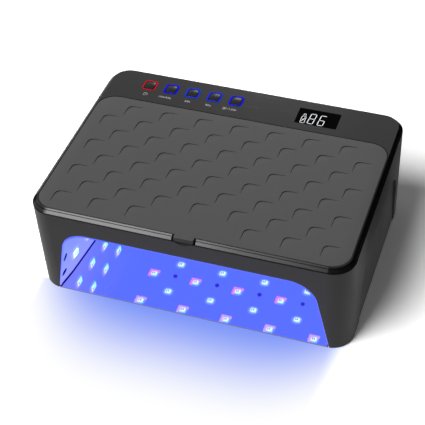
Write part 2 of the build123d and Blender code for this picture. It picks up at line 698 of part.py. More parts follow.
def control_board():
    """The board under the strip."""
    board = slab(CONTROL_RIGHT - CONTROL_LEFT, CONTROL_REAR - CONTROL_FRONT, BOARD_RADIUS,
                 CONTROL_TOP - BOARD, CONTROL_TOP,
                 ((CONTROL_LEFT + CONTROL_RIGHT) / 2, (CONTROL_FRONT + CONTROL_REAR) / 2))
    for x, y in CONTROL_POSTS:
        board -= column((x, y), PILOT_HOLE, CONTROL_TOP - BOARD - PAST, CONTROL_TOP + PAST)
    return board


def control_board_screws():
    """The screws that hold the control board to its posts."""
    head_height = SMALL_SCREW[1]
    places = [Location((x, y, CONTROL_TOP - BOARD - head_height)) for x, y in CONTROL_POSTS]
    return set_at(places, screw(SMALL_SCREW, BOARD + SCREW_BITE - PAST))


def tact_switches():
    """One switch under each button, its stem just clear of a fully pressed cap."""
    stem_top = CAP_BOTTOM - BUTTON_TRAVEL - SWITCH_GAP
    switch = slab(SWITCH_SIZE, SWITCH_SIZE, SWITCH_RADIUS, CONTROL_TOP, CONTROL_TOP + SWITCH_HEIGHT)
    switch += column((0, 0), STEM_RADIUS, CONTROL_TOP, stem_top)
    return set_at([Location((x, BUTTON_Y, 0)) for x in BUTTON_X], switch)


def display_module():
    """The digit block on the control board."""
    top = STRIP_UNDERSIDE - WINDOW_FLANGE_THICKNESS - SWITCH_GAP
    return slab(WINDOW_WIDTH - PAST, WINDOW_LENGTH - PAST, WINDOW_RADIUS, CONTROL_TOP, top,
                WINDOW_CENTRE)


def display_window():
    """The dark window, set in the strip with a flange behind it."""
    pane = slab(WINDOW_WIDTH, WINDOW_LENGTH, WINDOW_RADIUS, STRIP_UNDERSIDE - FIT,
                HEIGHT - FIT / 4, WINDOW_CENTRE)
    return pane + slab(WINDOW_WIDTH + 2 * WINDOW_FLANGE, WINDOW_LENGTH + 2 * WINDOW_FLANGE,
                       WINDOW_RADIUS, STRIP_UNDERSIDE - WINDOW_FLANGE_THICKNESS, STRIP_UNDERSIDE,
                       WINDOW_CENTRE)


def inner_reflector():
    """The liner of the hand chamber, with holes for its beads, sensors and screws."""
    outside = chamber(LINER, FIT, CHAMBER_FLOOR, LINER_FRONT_INSET)
    inside = chamber(0.0, FIT + LIP, CHAMBER_FLOOR - PAST, -PAST)
    liner = outside - inside
    hole = bead(BEAD + 2 * BEAD_HOLE_GAP, -PAST, LINER + PAST)
    for place in ceiling_places() + rear_places():
        liner -= hole.moved(place)
    for place in side_places():
        liner -= both_sides(hole.moved(place))
    eye = extrude(Plane.XY * Circle(SENSOR_RADIUS + FIT / 2), SENSOR_LENGTH + PAST, both=True)
    liner -= both_sides(set_at(sensor_places(), eye))
    for x in DOT_X:
        liner -= column((x, DOT_Y), CLEARANCE_HOLE, CHAMBER_HEIGHT - PAST, LED_BOARD_TOP)
    return liner


def ceiling_led_board():
    """The board above the ceiling that carries its beads."""
    bottom = CHAMBER_HEIGHT + LINER
    board = slab(*CEILING_BOARD_SIZE, BOARD_RADIUS, bottom, LED_BOARD_TOP, (ARRAY_X, CEILING_BOARD_Y))
    for x in DOT_X:
        board -= column((x, DOT_Y), CLEARANCE_HOLE, bottom - PAST, LED_BOARD_TOP + PAST)
    return board


def ceiling_beads():
    """The ceiling's beads."""
    return set_at(ceiling_places(), bead(BEAD, -BEAD_PROUD, LINER))


def right_beads():
    """The right-hand wall's beads."""
    return set_at(side_places(), bead(BEAD, -BEAD_PROUD, LINER))


def right_led_board():
    """The board behind the right-hand wall."""
    front, rear = SIDE_BOARD_Y
    low, high = SIDE_BOARD_Z
    plane = side_wall_plane((front + rear) / 2, (low + high) / 2).offset(LINER + SIDE_BOARD_GAP)
    return extrude(plane * RectangleRounded(rear - front, high - low, BOARD_RADIUS), SIDE_BOARD)


def rear_beads():
    """The rear wall's beads."""
    return set_at(rear_places(), bead(BEAD, -BEAD_PROUD, LINER))


def rear_led_board():
    """The board behind the rear wall."""
    plane = rear_wall_plane(0, REAR_BEAD_Z).offset(LINER + SIDE_BOARD_GAP)
    return extrude(plane * RectangleRounded(*REAR_BOARD_SIZE, BOARD_RADIUS), SIDE_BOARD)


def hand_sensors():
    """Two eyes in each side of the mouth that notice a hand."""
    eye = extrude(Plane((0, 0, SENSOR_INSET)) * Circle(SENSOR_RADIUS), SENSOR_LENGTH)
    return both_sides(set_at(sensor_places(), eye))


def reflector_screws():
    """The screws that hold the liner and its ceiling board up to the cover."""
    places = [Location((x, DOT_Y, CHAMBER_HEIGHT - LINER_SCREW[1])) for x in DOT_X]
    return set_at(places, screw(LINER_SCREW, LINER + LED_BOARD + SCREW_BITE - PAST))


def case_screws():
    """The screws that join the shell to the top cover."""
    places = [Location((x, y, CASE_POST_BOTTOM - CASE_SCREW[1])) for x, y in CASE_POSTS]
    length = CASE_POST_SPLIT - CASE_POST_BOTTOM + CASE_SCREW_BITE
    return set_at(places, screw(CASE_SCREW, length))


def base_plate():
    """The mirror-polished floor, with a tongue that fills the mouth's foot."""
    plate = slab_between(PLATE_HALF_WIDTH, PLATE_FRONT, PLATE_REAR, PLATE_RADIUS, PLATE_BOTTOM,
                         PLATE_TOP)
    return plate + block((-TONGUE_HALF_WIDTH, FRONT_FOOT + TONGUE_FRONT_GAP, PLATE_BOTTOM),
                         (TONGUE_HALF_WIDTH, PLATE_FRONT + PLATE_RADIUS, PLATE_TOP))


def base_feet():
    """Rubber feet under the base plate."""
    return Part() + [column(centre, FOOT_RADIUS, 0, PLATE_BOTTOM) for centre in FOOT_CENTRES]


def base_magnets():
    """The magnets that hold the base plate."""
    return Part() + [column(centre, MAGNET_RADIUS, PLATE_TOP, PLATE_TOP + MAGNET_HEIGHT)
                     for centre in MAGNET_CENTRES]


def tray_rear():
    """Y of the battery tray's rear face."""
    return CELL_Y + CELL_RADIUS + CELL_GAP + TRAY_WALL


def tray_ends():
    """X of the battery tray's two ends."""
    left = CELL_LEFT - CELL_ROOM - TRAY_WALL
    return left, CELL_LEFT + CELL_STEP + CELL_LENGTH + CELL_ROOM + TRAY_WALL


def tray_screw_places():
    """X and Z of the battery tray's screws, in a lug at each end."""
    left, right = tray_ends()
    out = TRAY_LUG_REACH / 2
    return ((left - out, TRAY_SCREW_Z), (right + out, TRAY_SCREW_Z))


def battery_cells():
    """Four round cells in two layers."""
    cell = extrude(Plane.YZ * Circle(CELL_RADIUS), CELL_LENGTH)
    nub_radius, nub_height = CELL_NUB
    nub = extrude(Plane.YZ.offset(CELL_LENGTH) * Circle(nub_radius), nub_height)
    places = [Location((CELL_LEFT + step * CELL_STEP, CELL_Y, z))
              for step in (0, 1) for z in CELL_Z]
    return set_at(places, cell + nub)


def battery_tray():
    """The open tray that the cells lie in, with a screw lug at each end."""
    left, right = tray_ends()
    rear = tray_rear()
    front = 2 * CELL_Y - rear
    floor = CELL_Z[0] - CELL_RADIUS - FIT
    tray = block((left, front, floor - TRAY_WALL), (right, rear, TRAY_TOP))
    tray -= block((left + TRAY_WALL, front + TRAY_WALL, floor),
                  (right - TRAY_WALL, rear - TRAY_WALL, TRAY_TOP + PAST))
    for x, z in tray_screw_places():
        inner = left if x < left else right
        tray += block((min(x - TRAY_LUG_REACH / 2, inner - FIT), rear - TRAY_WALL,
                       z - TRAY_LUG_HALF),
                      (max(x + TRAY_LUG_REACH / 2, inner + FIT), rear, z + TRAY_LUG_HALF))
        tray -= rod(x, z, CLEARANCE_HOLE, rear - TRAY_WALL - PAST, rear + PAST)
    return tray


def battery_screws():
    """The screws that hold the battery tray."""
    head_face = tray_rear() - TRAY_WALL - TRAY_SCREW[1]
    places = [Plane((x, head_face, z), x_dir=(1, 0, 0), z_dir=(0, 1, 0)).location
              for x, z in tray_screw_places()]
    return set_at(places, screw(TRAY_SCREW, TRAY_WALL + TRAY_SCREW_BITE))


def main_board():
    """The upright driver and charger board."""
    board = block((MAIN_LEFT, MAIN_REAR - BOARD, MAIN_BOTTOM), (MAIN_RIGHT, MAIN_REAR, MAIN_TOP))
    for x, z in MAIN_POSTS:
        board -= rod(x, z, CLEARANCE_HOLE, MAIN_REAR - BOARD - PAST, MAIN_REAR + PAST)
    return board


def main_board_screws():
    """The screws that hold the main board."""
    head_face = MAIN_REAR - BOARD - BOARD_SCREW[1]
    places = [Plane((x, head_face, z), x_dir=(1, 0, 0), z_dir=(0, 1, 0)).location
              for x, z in MAIN_POSTS]
    return set_at(places, screw(BOARD_SCREW, BOARD + SCREW_BITE - PAST))


def driver_components():
    """The inductor, capacitors, chips and sockets on the main board's front."""
    face = MAIN_REAR - BOARD
    parts = [rod(x, z, radius, face - height, face) for x, z, radius, height in ROUND_COMPONENTS]
    for low, high, height in FLAT_COMPONENTS:
        parts.append(block((low[0], face - height, low[1]), (high[0], face, high[1])))
    return Part() + parts


def charging_socket():
    """The round charging socket, through the rear wall."""
    rear_inside = DEPTH / 2 - WALL
    half_width, half_height = SOCKET_BODY_HALF
    body = block((SOCKET_X - half_width, MAIN_REAR, SOCKET_Z - half_height),
                 (SOCKET_X + half_width, rear_inside, SOCKET_Z + half_height))
    body += rod(SOCKET_X, SOCKET_Z, SOCKET_NOSE, rear_inside, SOCKET_REAR)
    return body - rod(SOCKET_X, SOCKET_Z, SOCKET_BORE, SOCKET_REAR - SOCKET_DEPTH,
                      SOCKET_REAR + PAST)


def socket_pin():
    """The centre pin of the charging socket."""
    return rod(SOCKET_X, SOCKET_Z, SOCKET_PIN, SOCKET_REAR - SOCKET_DEPTH, SOCKET_REAR - PAST)


def lead_socket():
    """The socket on the ceiling board that its lead plugs into."""
    width, length, height = LED_SOCKET_SIZE
    return block((LED_SOCKET_X - width / 2, LED_SOCKET_REAR - length, LED_BOARD_TOP),
                 (LED_SOCKET_X + width / 2, LED_SOCKET_REAR, LED_BOARD_TOP + height))


def lead(points, bend):
    """One insulated lead along straight runs joined by arcs."""
    route = FilletPolyline(*points, radius=bend)
    start = Plane(route @ 0, z_dir=route % 0)
    return sweep(start * Circle(LEAD_RADIUS), path=route)


def wiring():
    """The leads from the main board to the battery, the control board and the ceiling board."""
    battery_lead = [(tray_ends()[1], CELL_Y, BATTERY_LEAD_END[0][2]), *BATTERY_LEAD_END]
    return Part() + [lead(battery_lead, LEAD_BEND), lead(CONTROL_LEAD, SHORT_LEAD_BEND),
                     lead(CEILING_LEAD, LEAD_BEND)]


def build_pieces():
    """Every piece by its name."""
    pieces = {
        "outer_shell": outer_shell(),
        "top_cover": top_cover(),
        "hand_rest_carrier": hand_rest_carrier(),
        "hand_rest_pad": hand_rest_pad(),
        "base_plate": base_plate(),
        "base_feet": base_feet(),
        "base_magnets": base_magnets(),
        "inner_reflector": inner_reflector(),
        "ceiling_led_board": ceiling_led_board(),
        "ceiling_beads": ceiling_beads(),
        "right_led_board": right_led_board(),
        "left_led_board": mirror(right_led_board(), Plane.YZ),
        "right_beads": right_beads(),
        "left_beads": mirror(right_beads(), Plane.YZ),
        "rear_led_board": rear_led_board(),
        "rear_beads": rear_beads(),
        "hand_sensors": hand_sensors(),
        "reflector_screws": reflector_screws(),
        "case_screws": case_screws(),
        "button_guide": button_guide(),
        "control_board": control_board(),
        "control_board_screws": control_board_screws(),
        "tact_switches": tact_switches(),
        "display_module": display_module(),
        "display_window": display_window(),
        "battery_cells": battery_cells(),
        "battery_tray": battery_tray(),
        "battery_screws": battery_screws(),
        "main_board": main_board(),
        "main_board_screws": main_board_screws(),
        "driver_components": driver_components(),
        "charging_socket": charging_socket(),
        "socket_pin": socket_pin(),
        "lead_socket": lead_socket(),
        "wiring": wiring(),
        "power_button": button_cap(BUTTON_X[0]),
        "power_ring": button_ring(BUTTON_X[0]),
    }
    for number, x in enumerate(BUTTON_X[1:], start=1):
        pieces[f"timer_button_{number}"] = button_cap(x)
        pieces[f"timer_ring_{number}"] = button_ring(x)
    return pieces


def main():
    """Write one file for each piece."""
    os.makedirs("parts", exist_ok=True)
    for name, piece in build_pieces().items():
        export_step(piece, f"parts/{name}.step")


main()
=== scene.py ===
"""Looks of a rechargeable nail lamp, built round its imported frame.

The frame is in metres: X is the lamp's width, -Y is its open front, +Z is up, and the floor is
at zero. Sizes of the modelled pieces and of the patterns on them are in millimetres, and the
studio's places are in metres.
"""
from __future__ import annotations

import logging
import math
from collections.abc import Callable
from dataclasses import dataclass, field
from enum import Enum
from functools import reduce
from typing import Any

import bmesh
import bpy
from mathutils import Matrix, Vector

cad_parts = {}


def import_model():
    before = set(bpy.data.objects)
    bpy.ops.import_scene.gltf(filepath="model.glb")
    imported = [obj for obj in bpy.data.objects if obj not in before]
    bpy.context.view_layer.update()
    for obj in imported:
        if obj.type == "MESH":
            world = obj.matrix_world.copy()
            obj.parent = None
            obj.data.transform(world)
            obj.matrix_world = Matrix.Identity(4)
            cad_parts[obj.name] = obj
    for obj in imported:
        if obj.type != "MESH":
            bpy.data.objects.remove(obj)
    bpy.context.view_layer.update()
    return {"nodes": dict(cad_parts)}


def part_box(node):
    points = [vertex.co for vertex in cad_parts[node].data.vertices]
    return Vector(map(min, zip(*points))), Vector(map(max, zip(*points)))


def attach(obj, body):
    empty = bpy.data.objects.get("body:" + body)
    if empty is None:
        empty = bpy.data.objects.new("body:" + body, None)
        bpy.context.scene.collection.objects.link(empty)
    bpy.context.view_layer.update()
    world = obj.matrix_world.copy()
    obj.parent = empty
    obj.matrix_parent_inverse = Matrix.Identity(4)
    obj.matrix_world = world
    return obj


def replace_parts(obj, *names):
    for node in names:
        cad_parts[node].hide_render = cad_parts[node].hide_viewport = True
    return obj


log = logging.getLogger("nail_lamp")

MM = 0.001
TOP = 96.6
NEAR = 1e-4
BEAD_MAP = "bead_face"
BEAD_MAP_MM = 16.0
FLIP = Matrix.Diagonal((-1, 1, 1, 1))

Colour = tuple[float, float, float]
Point = tuple[float, float, float]
Pair = tuple[float, float]

WHITE: Colour = (1.0, 1.0, 1.0)


def shade(colour: Colour, level: float) -> Colour:
    """A colour made darker or lighter."""
    return tuple(channel * level for channel in colour)


def add_object(name: str, data: bpy.types.ID) -> bpy.types.Object:
    """Put a new object in the scene.

    Args:
        name: the object's name.
        data: its mesh, curve, light or camera.

    Returns:
        The object.
    """
    made = bpy.data.objects.new(name, data)
    bpy.context.scene.collection.objects.link(made)
    return made


def placed(spot: Any, across: Any, upward: Any, facing: Any) -> Matrix:
    """A spot with its own X, Y and Z directions, as one matrix."""
    turn = Matrix((across, upward, facing)).transposed().to_4x4()
    return Matrix.Translation(spot) @ turn


def made_verts(made: dict[str, list]) -> list[bmesh.types.BMVert]:
    """The vertices among what an operator hands back."""
    return [part for part in made["geom"] if isinstance(part, bmesh.types.BMVert)]


def math_node(operation: str, swapped: bool = False) -> Callable[..., Signal]:
    """A method of Signal that adds one Math node.

    Args:
        operation: the node's operation.
        swapped: whether the signal itself comes second, as in a reflected operator.

    Returns:
        The method.
    """
    def method(self: Signal, other: Any = 0.0) -> Signal:
        """The result for this signal and another, or a number."""
        pair = (other, self) if swapped else (self, other)
        return self.bench.node("ShaderNodeMath", {"operation": operation}, dict(enumerate(pair)))

    return method


class Signal:
    """A node's output that arithmetic can be written with."""

    def __init__(self, bench: Bench, socket: bpy.types.NodeSocket | None) -> None:
        """Wrap an output in a bench's tree."""
        self.bench = bench
        self.socket = socket

    __add__, __radd__ = math_node("ADD"), math_node("ADD", swapped=True)
    __sub__, __rsub__ = math_node("SUBTRACT"), math_node("SUBTRACT", swapped=True)
    __mul__, __rmul__ = math_node("MULTIPLY"), math_node("MULTIPLY", swapped=True)
    __truediv__, __pow__ = math_node("DIVIDE"), math_node("POWER")
    __abs__, sine = math_node("ABSOLUTE"), math_node("SINE")
    largest, smallest = math_node("MAXIMUM"), math_node("MINIMUM")

    def ramp(self, low: float, high: float) -> Signal:
        """Nought below low, one above high and smooth between."""
        return self.bench.node(
            "ShaderNodeMapRange", {"interpolation_type": "SMOOTHSTEP"},
            {"Value": self, "From Min": low, "From Max": high, "To Min": 0.0, "To Max": 1.0})

    def beside(self, output: int | str) -> Signal:
        """Another output of the same node."""
        return Signal(self.bench, self.socket.node.outputs[output])


class Bench:
    """Builds the node tree of one material or of the world."""

    def __init__(self, tree: bpy.types.NodeTree) -> None:
        """Start from an empty tree."""
        self.tree = tree
        self.tree.nodes.clear()

    def node(self, kind: str, settings: dict[str, Any] | None = None,
             inputs: dict[int | str, Any] | None = None, output: int | str = 0) -> Signal:
        """Add any node.

        Args:
            kind: the node's type.
            settings: its own properties, set before its sockets.
            inputs: a value, a colour or a signal for each named or numbered input.
            output: which output to hand back.

        Returns:
            That output as a signal, which is empty if the node has none.
        """
        made = self.tree.nodes.new(kind)
        for key, value in (settings or {}).items():
            setattr(made, key, value)
        for key, value in (inputs or {}).items():
            socket = made.inputs[key]
            if isinstance(value, Signal):
                self.tree.links.new(value.socket, socket)
            else:
                socket.default_value = (*value, 1.0) if socket.type == "RGBA" else value
        return Signal(self, made.outputs[output] if len(made.outputs) else None)

    def place(self) -> Signal:
        """The point on the surface, in the frame's metres."""
        return self.node("ShaderNodeTexCoord", output="Object")

    def axes(self) -> tuple[Signal, Signal, Signal]:
        """X, Y and Z of the point on the surface, in millimetres."""
        split = self.node("ShaderNodeSeparateXYZ", inputs={0: self.place()})
        return tuple(split.beside(number) / MM for number in range(3))

    def facing(self, axis: int) -> Signal:
        """How far the surface faces along X, Y or Z, by the axis's number."""
        normal = self.node("ShaderNodeNewGeometry", output="Normal")
        return self.node("ShaderNodeSeparateXYZ", inputs={0: normal}, output=axis)

    def noise(self, grain_mm: float, detail: float = 2.0, stretch: Point = (1, 1, 1)) -> Signal:
        """Soft noise with grains of one size.

        Args:
            grain_mm: a grain's width.
            detail: how many finer layers it has.
            stretch: how much longer a grain is along each axis.

        Returns:
            The noise, about one half on average.
        """
        scale = tuple(1.0 / (grain_mm * MM * along) for along in stretch)
        spread = self.node("ShaderNodeMapping", inputs={"Vector": self.place(), "Scale": scale})
        return self.node("ShaderNodeTexNoise", inputs={"Vector": spread, "Scale": 1.0,
                                                       "Detail": detail, "Roughness": 0.55})

    def cells(self, grain_mm: float) -> Signal:
        """Distance to the nearest of many scattered points, for a pebbled surface."""
        return self.node("ShaderNodeTexVoronoi", inputs={
            "Vector": self.place(), "Scale": 1.0 / (grain_mm * MM)}, output="Distance")

    def bead_reach(self, power: float = 4.0) -> Signal:
        """Millimetres from a bead's middle, by its own map.

        Args:
            power: two for round contours, more for squarer ones.

        Returns:
            The distance as a signal.
        """
        spot = self.node("ShaderNodeUVMap", {"uv_map": BEAD_MAP})
        split = self.node("ShaderNodeSeparateXYZ", inputs={0: spot})
        across, along = (abs(split.beside(number) - 0.5) * BEAD_MAP_MM for number in range(2))
        return (across ** power + along ** power) ** (1 / power)

    def blend(self, share: Any, first: Any, second: Any) -> Signal:
        """A colour between two, the first at a share of nought and the second at one."""
        return self.node("ShaderNodeMix", {"data_type": "RGBA"}, {0: share, 6: first, 7: second},
                         2)

    def mix(self, share: Signal, first: Signal, second: Signal) -> Signal:
        """A shader between two, the first at a share of nought and the second at one."""
        return self.node("ShaderNodeMixShader", inputs={0: share, 1: first, 2: second})

    def matte(self, colour: Any) -> Signal:
        """A plain dull shader."""
        return self.node("ShaderNodeBsdfDiffuse", inputs={"Color": colour})

    def bump(self, height: Signal, depth_mm: float) -> Signal:
        """A normal that follows a height, of which one stands for the depth."""
        return self.node("ShaderNodeBump", inputs={
            "Strength": 1.0, "Distance": depth_mm * MM, "Height": height})

    def skin(self, inputs: dict[str, Any]) -> Signal:
        """A Principled shader with these sockets."""
        return self.node("ShaderNodeBsdfPrincipled", inputs=inputs)

    def unshaded(self, colour: Any) -> Signal:
        """A colour that no light or shadow changes."""
        return self.node("ShaderNodeEmission", inputs={"Color": colour, "Strength": 1.0})

    def seen(self) -> Signal:
        """One for what the camera, a mirror or glass looks at, nought for light on things."""
        path = self.node("ShaderNodeLightPath", output="Is Camera Ray")
        return path.largest(path.beside("Is Glossy Ray")).largest(
            path.beside("Is Transmission Ray"))

    def close(self, surface: Signal, kind: str = "ShaderNodeOutputMaterial") -> None:
        """Send a shader to the tree's output."""
        self.node(kind, inputs={"Surface": surface})


@dataclass(frozen=True)
class Finish:
    """A named finish. Each kind of finish makes its own surface."""

    name: str

    def surface(self, bench: Bench) -> Signal:
        """The finish's shader."""
        raise NotImplementedError

    def make(self) -> bpy.types.Material:
        """Build the material.

        Returns:
            The material.
        """
        material = bpy.data.materials.new(self.name)
        material.use_nodes = True
        bench = Bench(material.node_tree)
        bench.close(self.surface(bench))
        return material


@dataclass(frozen=True)
class MouldedPlastic(Finish):
    """Plastic from a textured mould: fine pebbles, slow colour drift and uneven gloss."""

    colour: Colour
    roughness: float = 0.5
    grain_mm: float = 0.45
    grain_depth_mm: float = 0.012
    patch_mm: float = 38.0
    drift: float = 0.12
    ior: float = 1.46
    # share of painted shade mixed into faces that point down, as shade under ledges and in
    # creases
    underside: float = 0.0
    facing_down: Pair = (0.2, 0.5)
    painted_shade: Colour = (0.004, 0.004, 0.004)

    def surface(self, bench: Bench) -> Signal:
        """The plastic, with painted shade where it faces down if it has an underside.

        Args:
            bench: the material's bench.

        Returns:
            The shader.
        """
        slow = bench.noise(self.patch_mm, 3.0)
        fine = bench.noise(self.grain_mm * 2.2, 2.0)
        pebbles = bench.cells(self.grain_mm)
        colour = bench.blend(slow * 0.6 + fine * 0.4, shade(self.colour, 1 - self.drift),
                             shade(self.colour, 1 + self.drift))
        roughness = self.roughness + (slow - 0.5) * 0.12 + (fine - 0.5) * 0.1
        normal = bench.bump(pebbles * 0.7 + fine * 0.3, self.grain_depth_mm)
        skin = bench.skin({"Base Color": colour, "Roughness": roughness, "Normal": normal,
                           "IOR": self.ior})
        if not self.underside:
            return skin
        # Painted shade: faces that point down are mixed towards a dull dark colour, as shade
        # under ledges and in the grip's crease.
        down = (0.0 - bench.facing(2)).ramp(*self.facing_down)
        return bench.mix(down * self.underside * (0.9 + fine * 0.1), skin,
                         bench.matte(self.painted_shade))


@dataclass(frozen=True)
class PolishedPlastic(Finish):
    """High-gloss plastic with faint rubbing marks and the slow ripple of a moulded face."""

    colour: Colour
    roughness: float = 0.12
    haze: float = 0.08
    ripple_mm: float = 0.004
    patch_mm: float = 26.0
    mark_mm: float = 3.0
    mark_length: float = 9.0
    mark_edge: Pair = (0.52, 0.78)
    ior: float = 1.42
    joints: tuple[Pair, ...] = ()
    painted_band_fade: float = 0.15
    painted_band_share: float = 0.85
    painted_band_colour: Colour = (0.002, 0.002, 0.002)

    def surface(self, bench: Bench) -> Signal:
        """The plastic, with dull dark bands painted at given heights, as painted shade and a
        painted dark reflection.

        Args:
            bench: the material's bench.

        Returns:
            The shader.
        """
        marks = bench.noise(self.mark_mm, 3.0, (self.mark_length, 1.0, 1.0))
        slow = bench.noise(self.patch_mm, 2.0)
        light = tuple(channel * 1.25 + 0.0008 for channel in self.colour)
        colour = bench.blend(slow, self.colour, light)
        haze = marks.ramp(*self.mark_edge) * self.haze
        roughness = self.roughness + haze + (slow - 0.5) * 0.03
        normal = bench.bump(slow, self.ripple_mm)
        skin = bench.skin({"Base Color": colour, "Roughness": roughness, "Normal": normal,
                           "IOR": self.ior})
        if not self.joints:
            return skin
        # Painted shade and reflection: dull dark bands at given heights are mixed over the gloss.
        height = bench.axes()[2]
        lines = [1 - abs(height - middle).ramp(half, half + self.painted_band_fade)
                 for middle, half in self.joints]
        return bench.mix(reduce(Signal.largest, lines) * self.painted_band_share, skin,
                         bench.matte(self.painted_band_colour))


@dataclass(frozen=True)
class Silicone(Finish):
    """Soft-touch silicone: powdery grain, a little dust, and painted shade on its steep faces."""

    colour: Colour
    roughness: float = 0.62
    patch_mm: float = 45.0
    powder_mm: float = 0.5
    powder_depth_mm: float = 0.01
    drift: float = 0.1
    speck_mm: float = 1.6
    speck_edge: Pair = (0.7, 0.78)
    speck_share: float = 0.35
    dust: float = 1.22
    flat: Pair = (0.72, 0.96)
    painted_steep_shade: float = 0.12

    def surface(self, bench: Bench) -> Signal:
        """The silicone.

        Args:
            bench: the material's bench.

        Returns:
            The shader.
        """
        slow = bench.noise(self.patch_mm, 3.0)
        powder = bench.noise(self.powder_mm, 3.0)
        specks = bench.noise(self.speck_mm, 1.0).ramp(*self.speck_edge)
        # Painted shade: steep faces, such as the tile walls and the rounded rim, are darkened as
        # shade in the grooves and at the pad's edge.
        steep = 1 - bench.facing(2).ramp(*self.flat)
        colour = bench.blend(slow * 0.5 + powder * 0.5, shade(self.colour, 1 - self.drift),
                             shade(self.colour, 1 + self.drift))
        colour = bench.blend(specks * self.speck_share, colour, shade(self.colour, self.dust))
        colour = bench.blend(steep, colour, shade(self.colour, self.painted_steep_shade))
        roughness = self.roughness + (powder - 0.5) * 0.2
        normal = bench.bump(powder, self.powder_depth_mm)
        return bench.skin({"Base Color": colour, "Roughness": roughness, "Normal": normal,
                           "IOR": 1.4, "Sheen Weight": 0.06})


@dataclass(frozen=True)
class Metal(Finish):
    """Bright metal with grinding lines along X and slow colour drift."""

    colour: Colour
    roughness: float
    line_mm: float = 0.25
    line_length: float = 40.0
    line_depth_mm: float = 0.0006
    patch_mm: float = 60.0
    drift: float = 0.93
    scatter: float = 0.05
    edge_shade_level: float = 1.0
    facing_up: Pair = (0.3, 0.7)

    def surface(self, bench: Bench) -> Signal:
        """The metal, with painted shade on its upright edges.

        Args:
            bench: the material's bench.

        Returns:
            The shader.
        """
        lines = bench.noise(self.line_mm, 2.0, (self.line_length, 1.0, 1.0))
        slow = bench.noise(self.patch_mm, 2.0)
        colour = bench.blend(slow * 0.6 + lines * 0.4, shade(self.colour, self.drift),
                             self.colour)
        # Painted shade: faces that stand upright, such as the plate's edge, get a darker colour.
        if self.edge_shade_level < 1:
            edge_shade_mask = 1 - abs(bench.facing(2)).ramp(*self.facing_up)
            colour = bench.blend(edge_shade_mask, colour, shade(self.colour, self.edge_shade_level))
        roughness = self.roughness + (lines - 0.5) * self.scatter
        normal = bench.bump(lines, self.line_depth_mm)
        return bench.skin({"Base Color": colour, "Metallic": 1.0, "Roughness": roughness,
                           "Normal": normal})


@dataclass(frozen=True)
class LitLiner(Finish):
    """White liner whose flood of the lamp's own light is painted as its glow: lavender walls and
    a deeper blue ceiling.
    """

    wall: Colour
    foot: Colour
    ceiling: Colour
    seam_shade: Colour = (0.006, 0.006, 0.08)
    body: Colour = (0.08, 0.1, 0.35)
    wall_rise: Pair = (0.0, 60.0)
    wall_run: Pair = (-95.0, 60.0)
    ceiling_rise: Pair = (67.0, 79.0)
    dim: float = 0.88
    seam_shade_rise: Pair = (3.3, 3.9)
    forward: Pair = (0.4, 0.6)
    lip_run: Pair = (-86.0, -84.0)
    lip_left: Pair = (-110.0, -90.0)
    lip_rise: Pair = (60.0, 68.0)
    lip_shade_level: float = 0.6
    patch_mm: float = 24.0
    patch_share: float = 0.3
    grain_mm: float = 0.8
    grain_depth_mm: float = 0.01
    strength: float = 1.6

    def surface(self, bench: Bench) -> Signal:
        """The liner's painted glow, with painted shade along its foot and on the lip round the
        mouth.

        Args:
            bench: the material's bench.

        Returns:
            The shader.
        """
        x, y, z = bench.axes()
        slow = bench.noise(self.patch_mm, 2.0)
        # Painted light: the emitted colour stands for the beads' light on the white liner, paler
        # low on the walls and deeper blue overhead, over a dark blue base colour.
        wall = bench.blend(z.ramp(*self.wall_rise), self.foot, self.wall)
        wall = bench.blend(y.ramp(*self.wall_run), wall, self.ceiling)
        colour = bench.blend(z.ramp(*self.ceiling_rise), wall, self.ceiling)
        colour = bench.blend(slow * self.patch_share, colour, shade(self.ceiling, self.dim))
        # Painted shade: the glow and the base colour go dark along the foot, and dimmer on the
        # lip round the mouth.
        forward = 0.0 - bench.facing(1)
        lip = forward.ramp(*self.forward) * (1 - y.ramp(*self.lip_run))
        foot = 1 - z.ramp(*self.seam_shade_rise)
        far_lip_shade = lip * x.ramp(*self.lip_left).largest(z.ramp(*self.lip_rise))
        colour = bench.blend(far_lip_shade, colour, shade(self.ceiling, self.lip_shade_level))
        colour = bench.blend(foot, colour, self.seam_shade)
        body = bench.blend(foot.largest(lip), self.body, self.seam_shade)
        normal = bench.bump(bench.noise(self.grain_mm, 2.0), self.grain_depth_mm)
        return bench.skin({"Base Color": body, "Roughness": 0.4 + (slow - 0.5) * 0.1,
                           "Normal": normal, "Emission Color": colour,
                           "Emission Strength": self.strength, "IOR": 1.2})


@dataclass(frozen=True)
class Glow(Finish):
    """A lit plastic or lens whose light is a little uneven."""

    light: Colour
    strength: float
    body: Colour = (0.6, 0.6, 0.6)
    unevenness: float = 0.12
    grain_mm: float = 2.0

    def surface(self, bench: Bench) -> Signal:
        """The lit plastic.

        Args:
            bench: the material's bench.

        Returns:
            The shader.
        """
        patches = bench.noise(self.grain_mm, 2.0)
        colour = bench.blend(patches, shade(self.light, 1 - 2 * self.unevenness), self.light)
        return bench.skin({"Base Color": self.body, "Roughness": 0.3 + (patches - 0.5) * 0.1,
                           "Emission Color": colour, "Emission Strength": self.strength})


@dataclass(frozen=True)
class BeadLight(Finish):
    """A lit bead, brightest in its middle and bluer towards its edge."""

    core: Colour
    rim: Colour
    strength: float
    core_mm: float = 2.4
    rim_mm: float = 3.7
    body: Colour = (0.1, 0.12, 0.3)

    def surface(self, bench: Bench) -> Signal:
        """The lit bead.

        Args:
            bench: the material's bench.

        Returns:
            The shader.
        """
        reach = bench.bead_reach()
        colour = bench.blend(reach.ramp(self.core_mm, self.rim_mm), self.core, self.rim)
        roughness = 0.3 + reach.ramp(0.0, self.rim_mm) * 0.15
        return bench.skin({"Base Color": self.body, "Roughness": roughness,
                           "Emission Color": colour, "Emission Strength": self.strength})


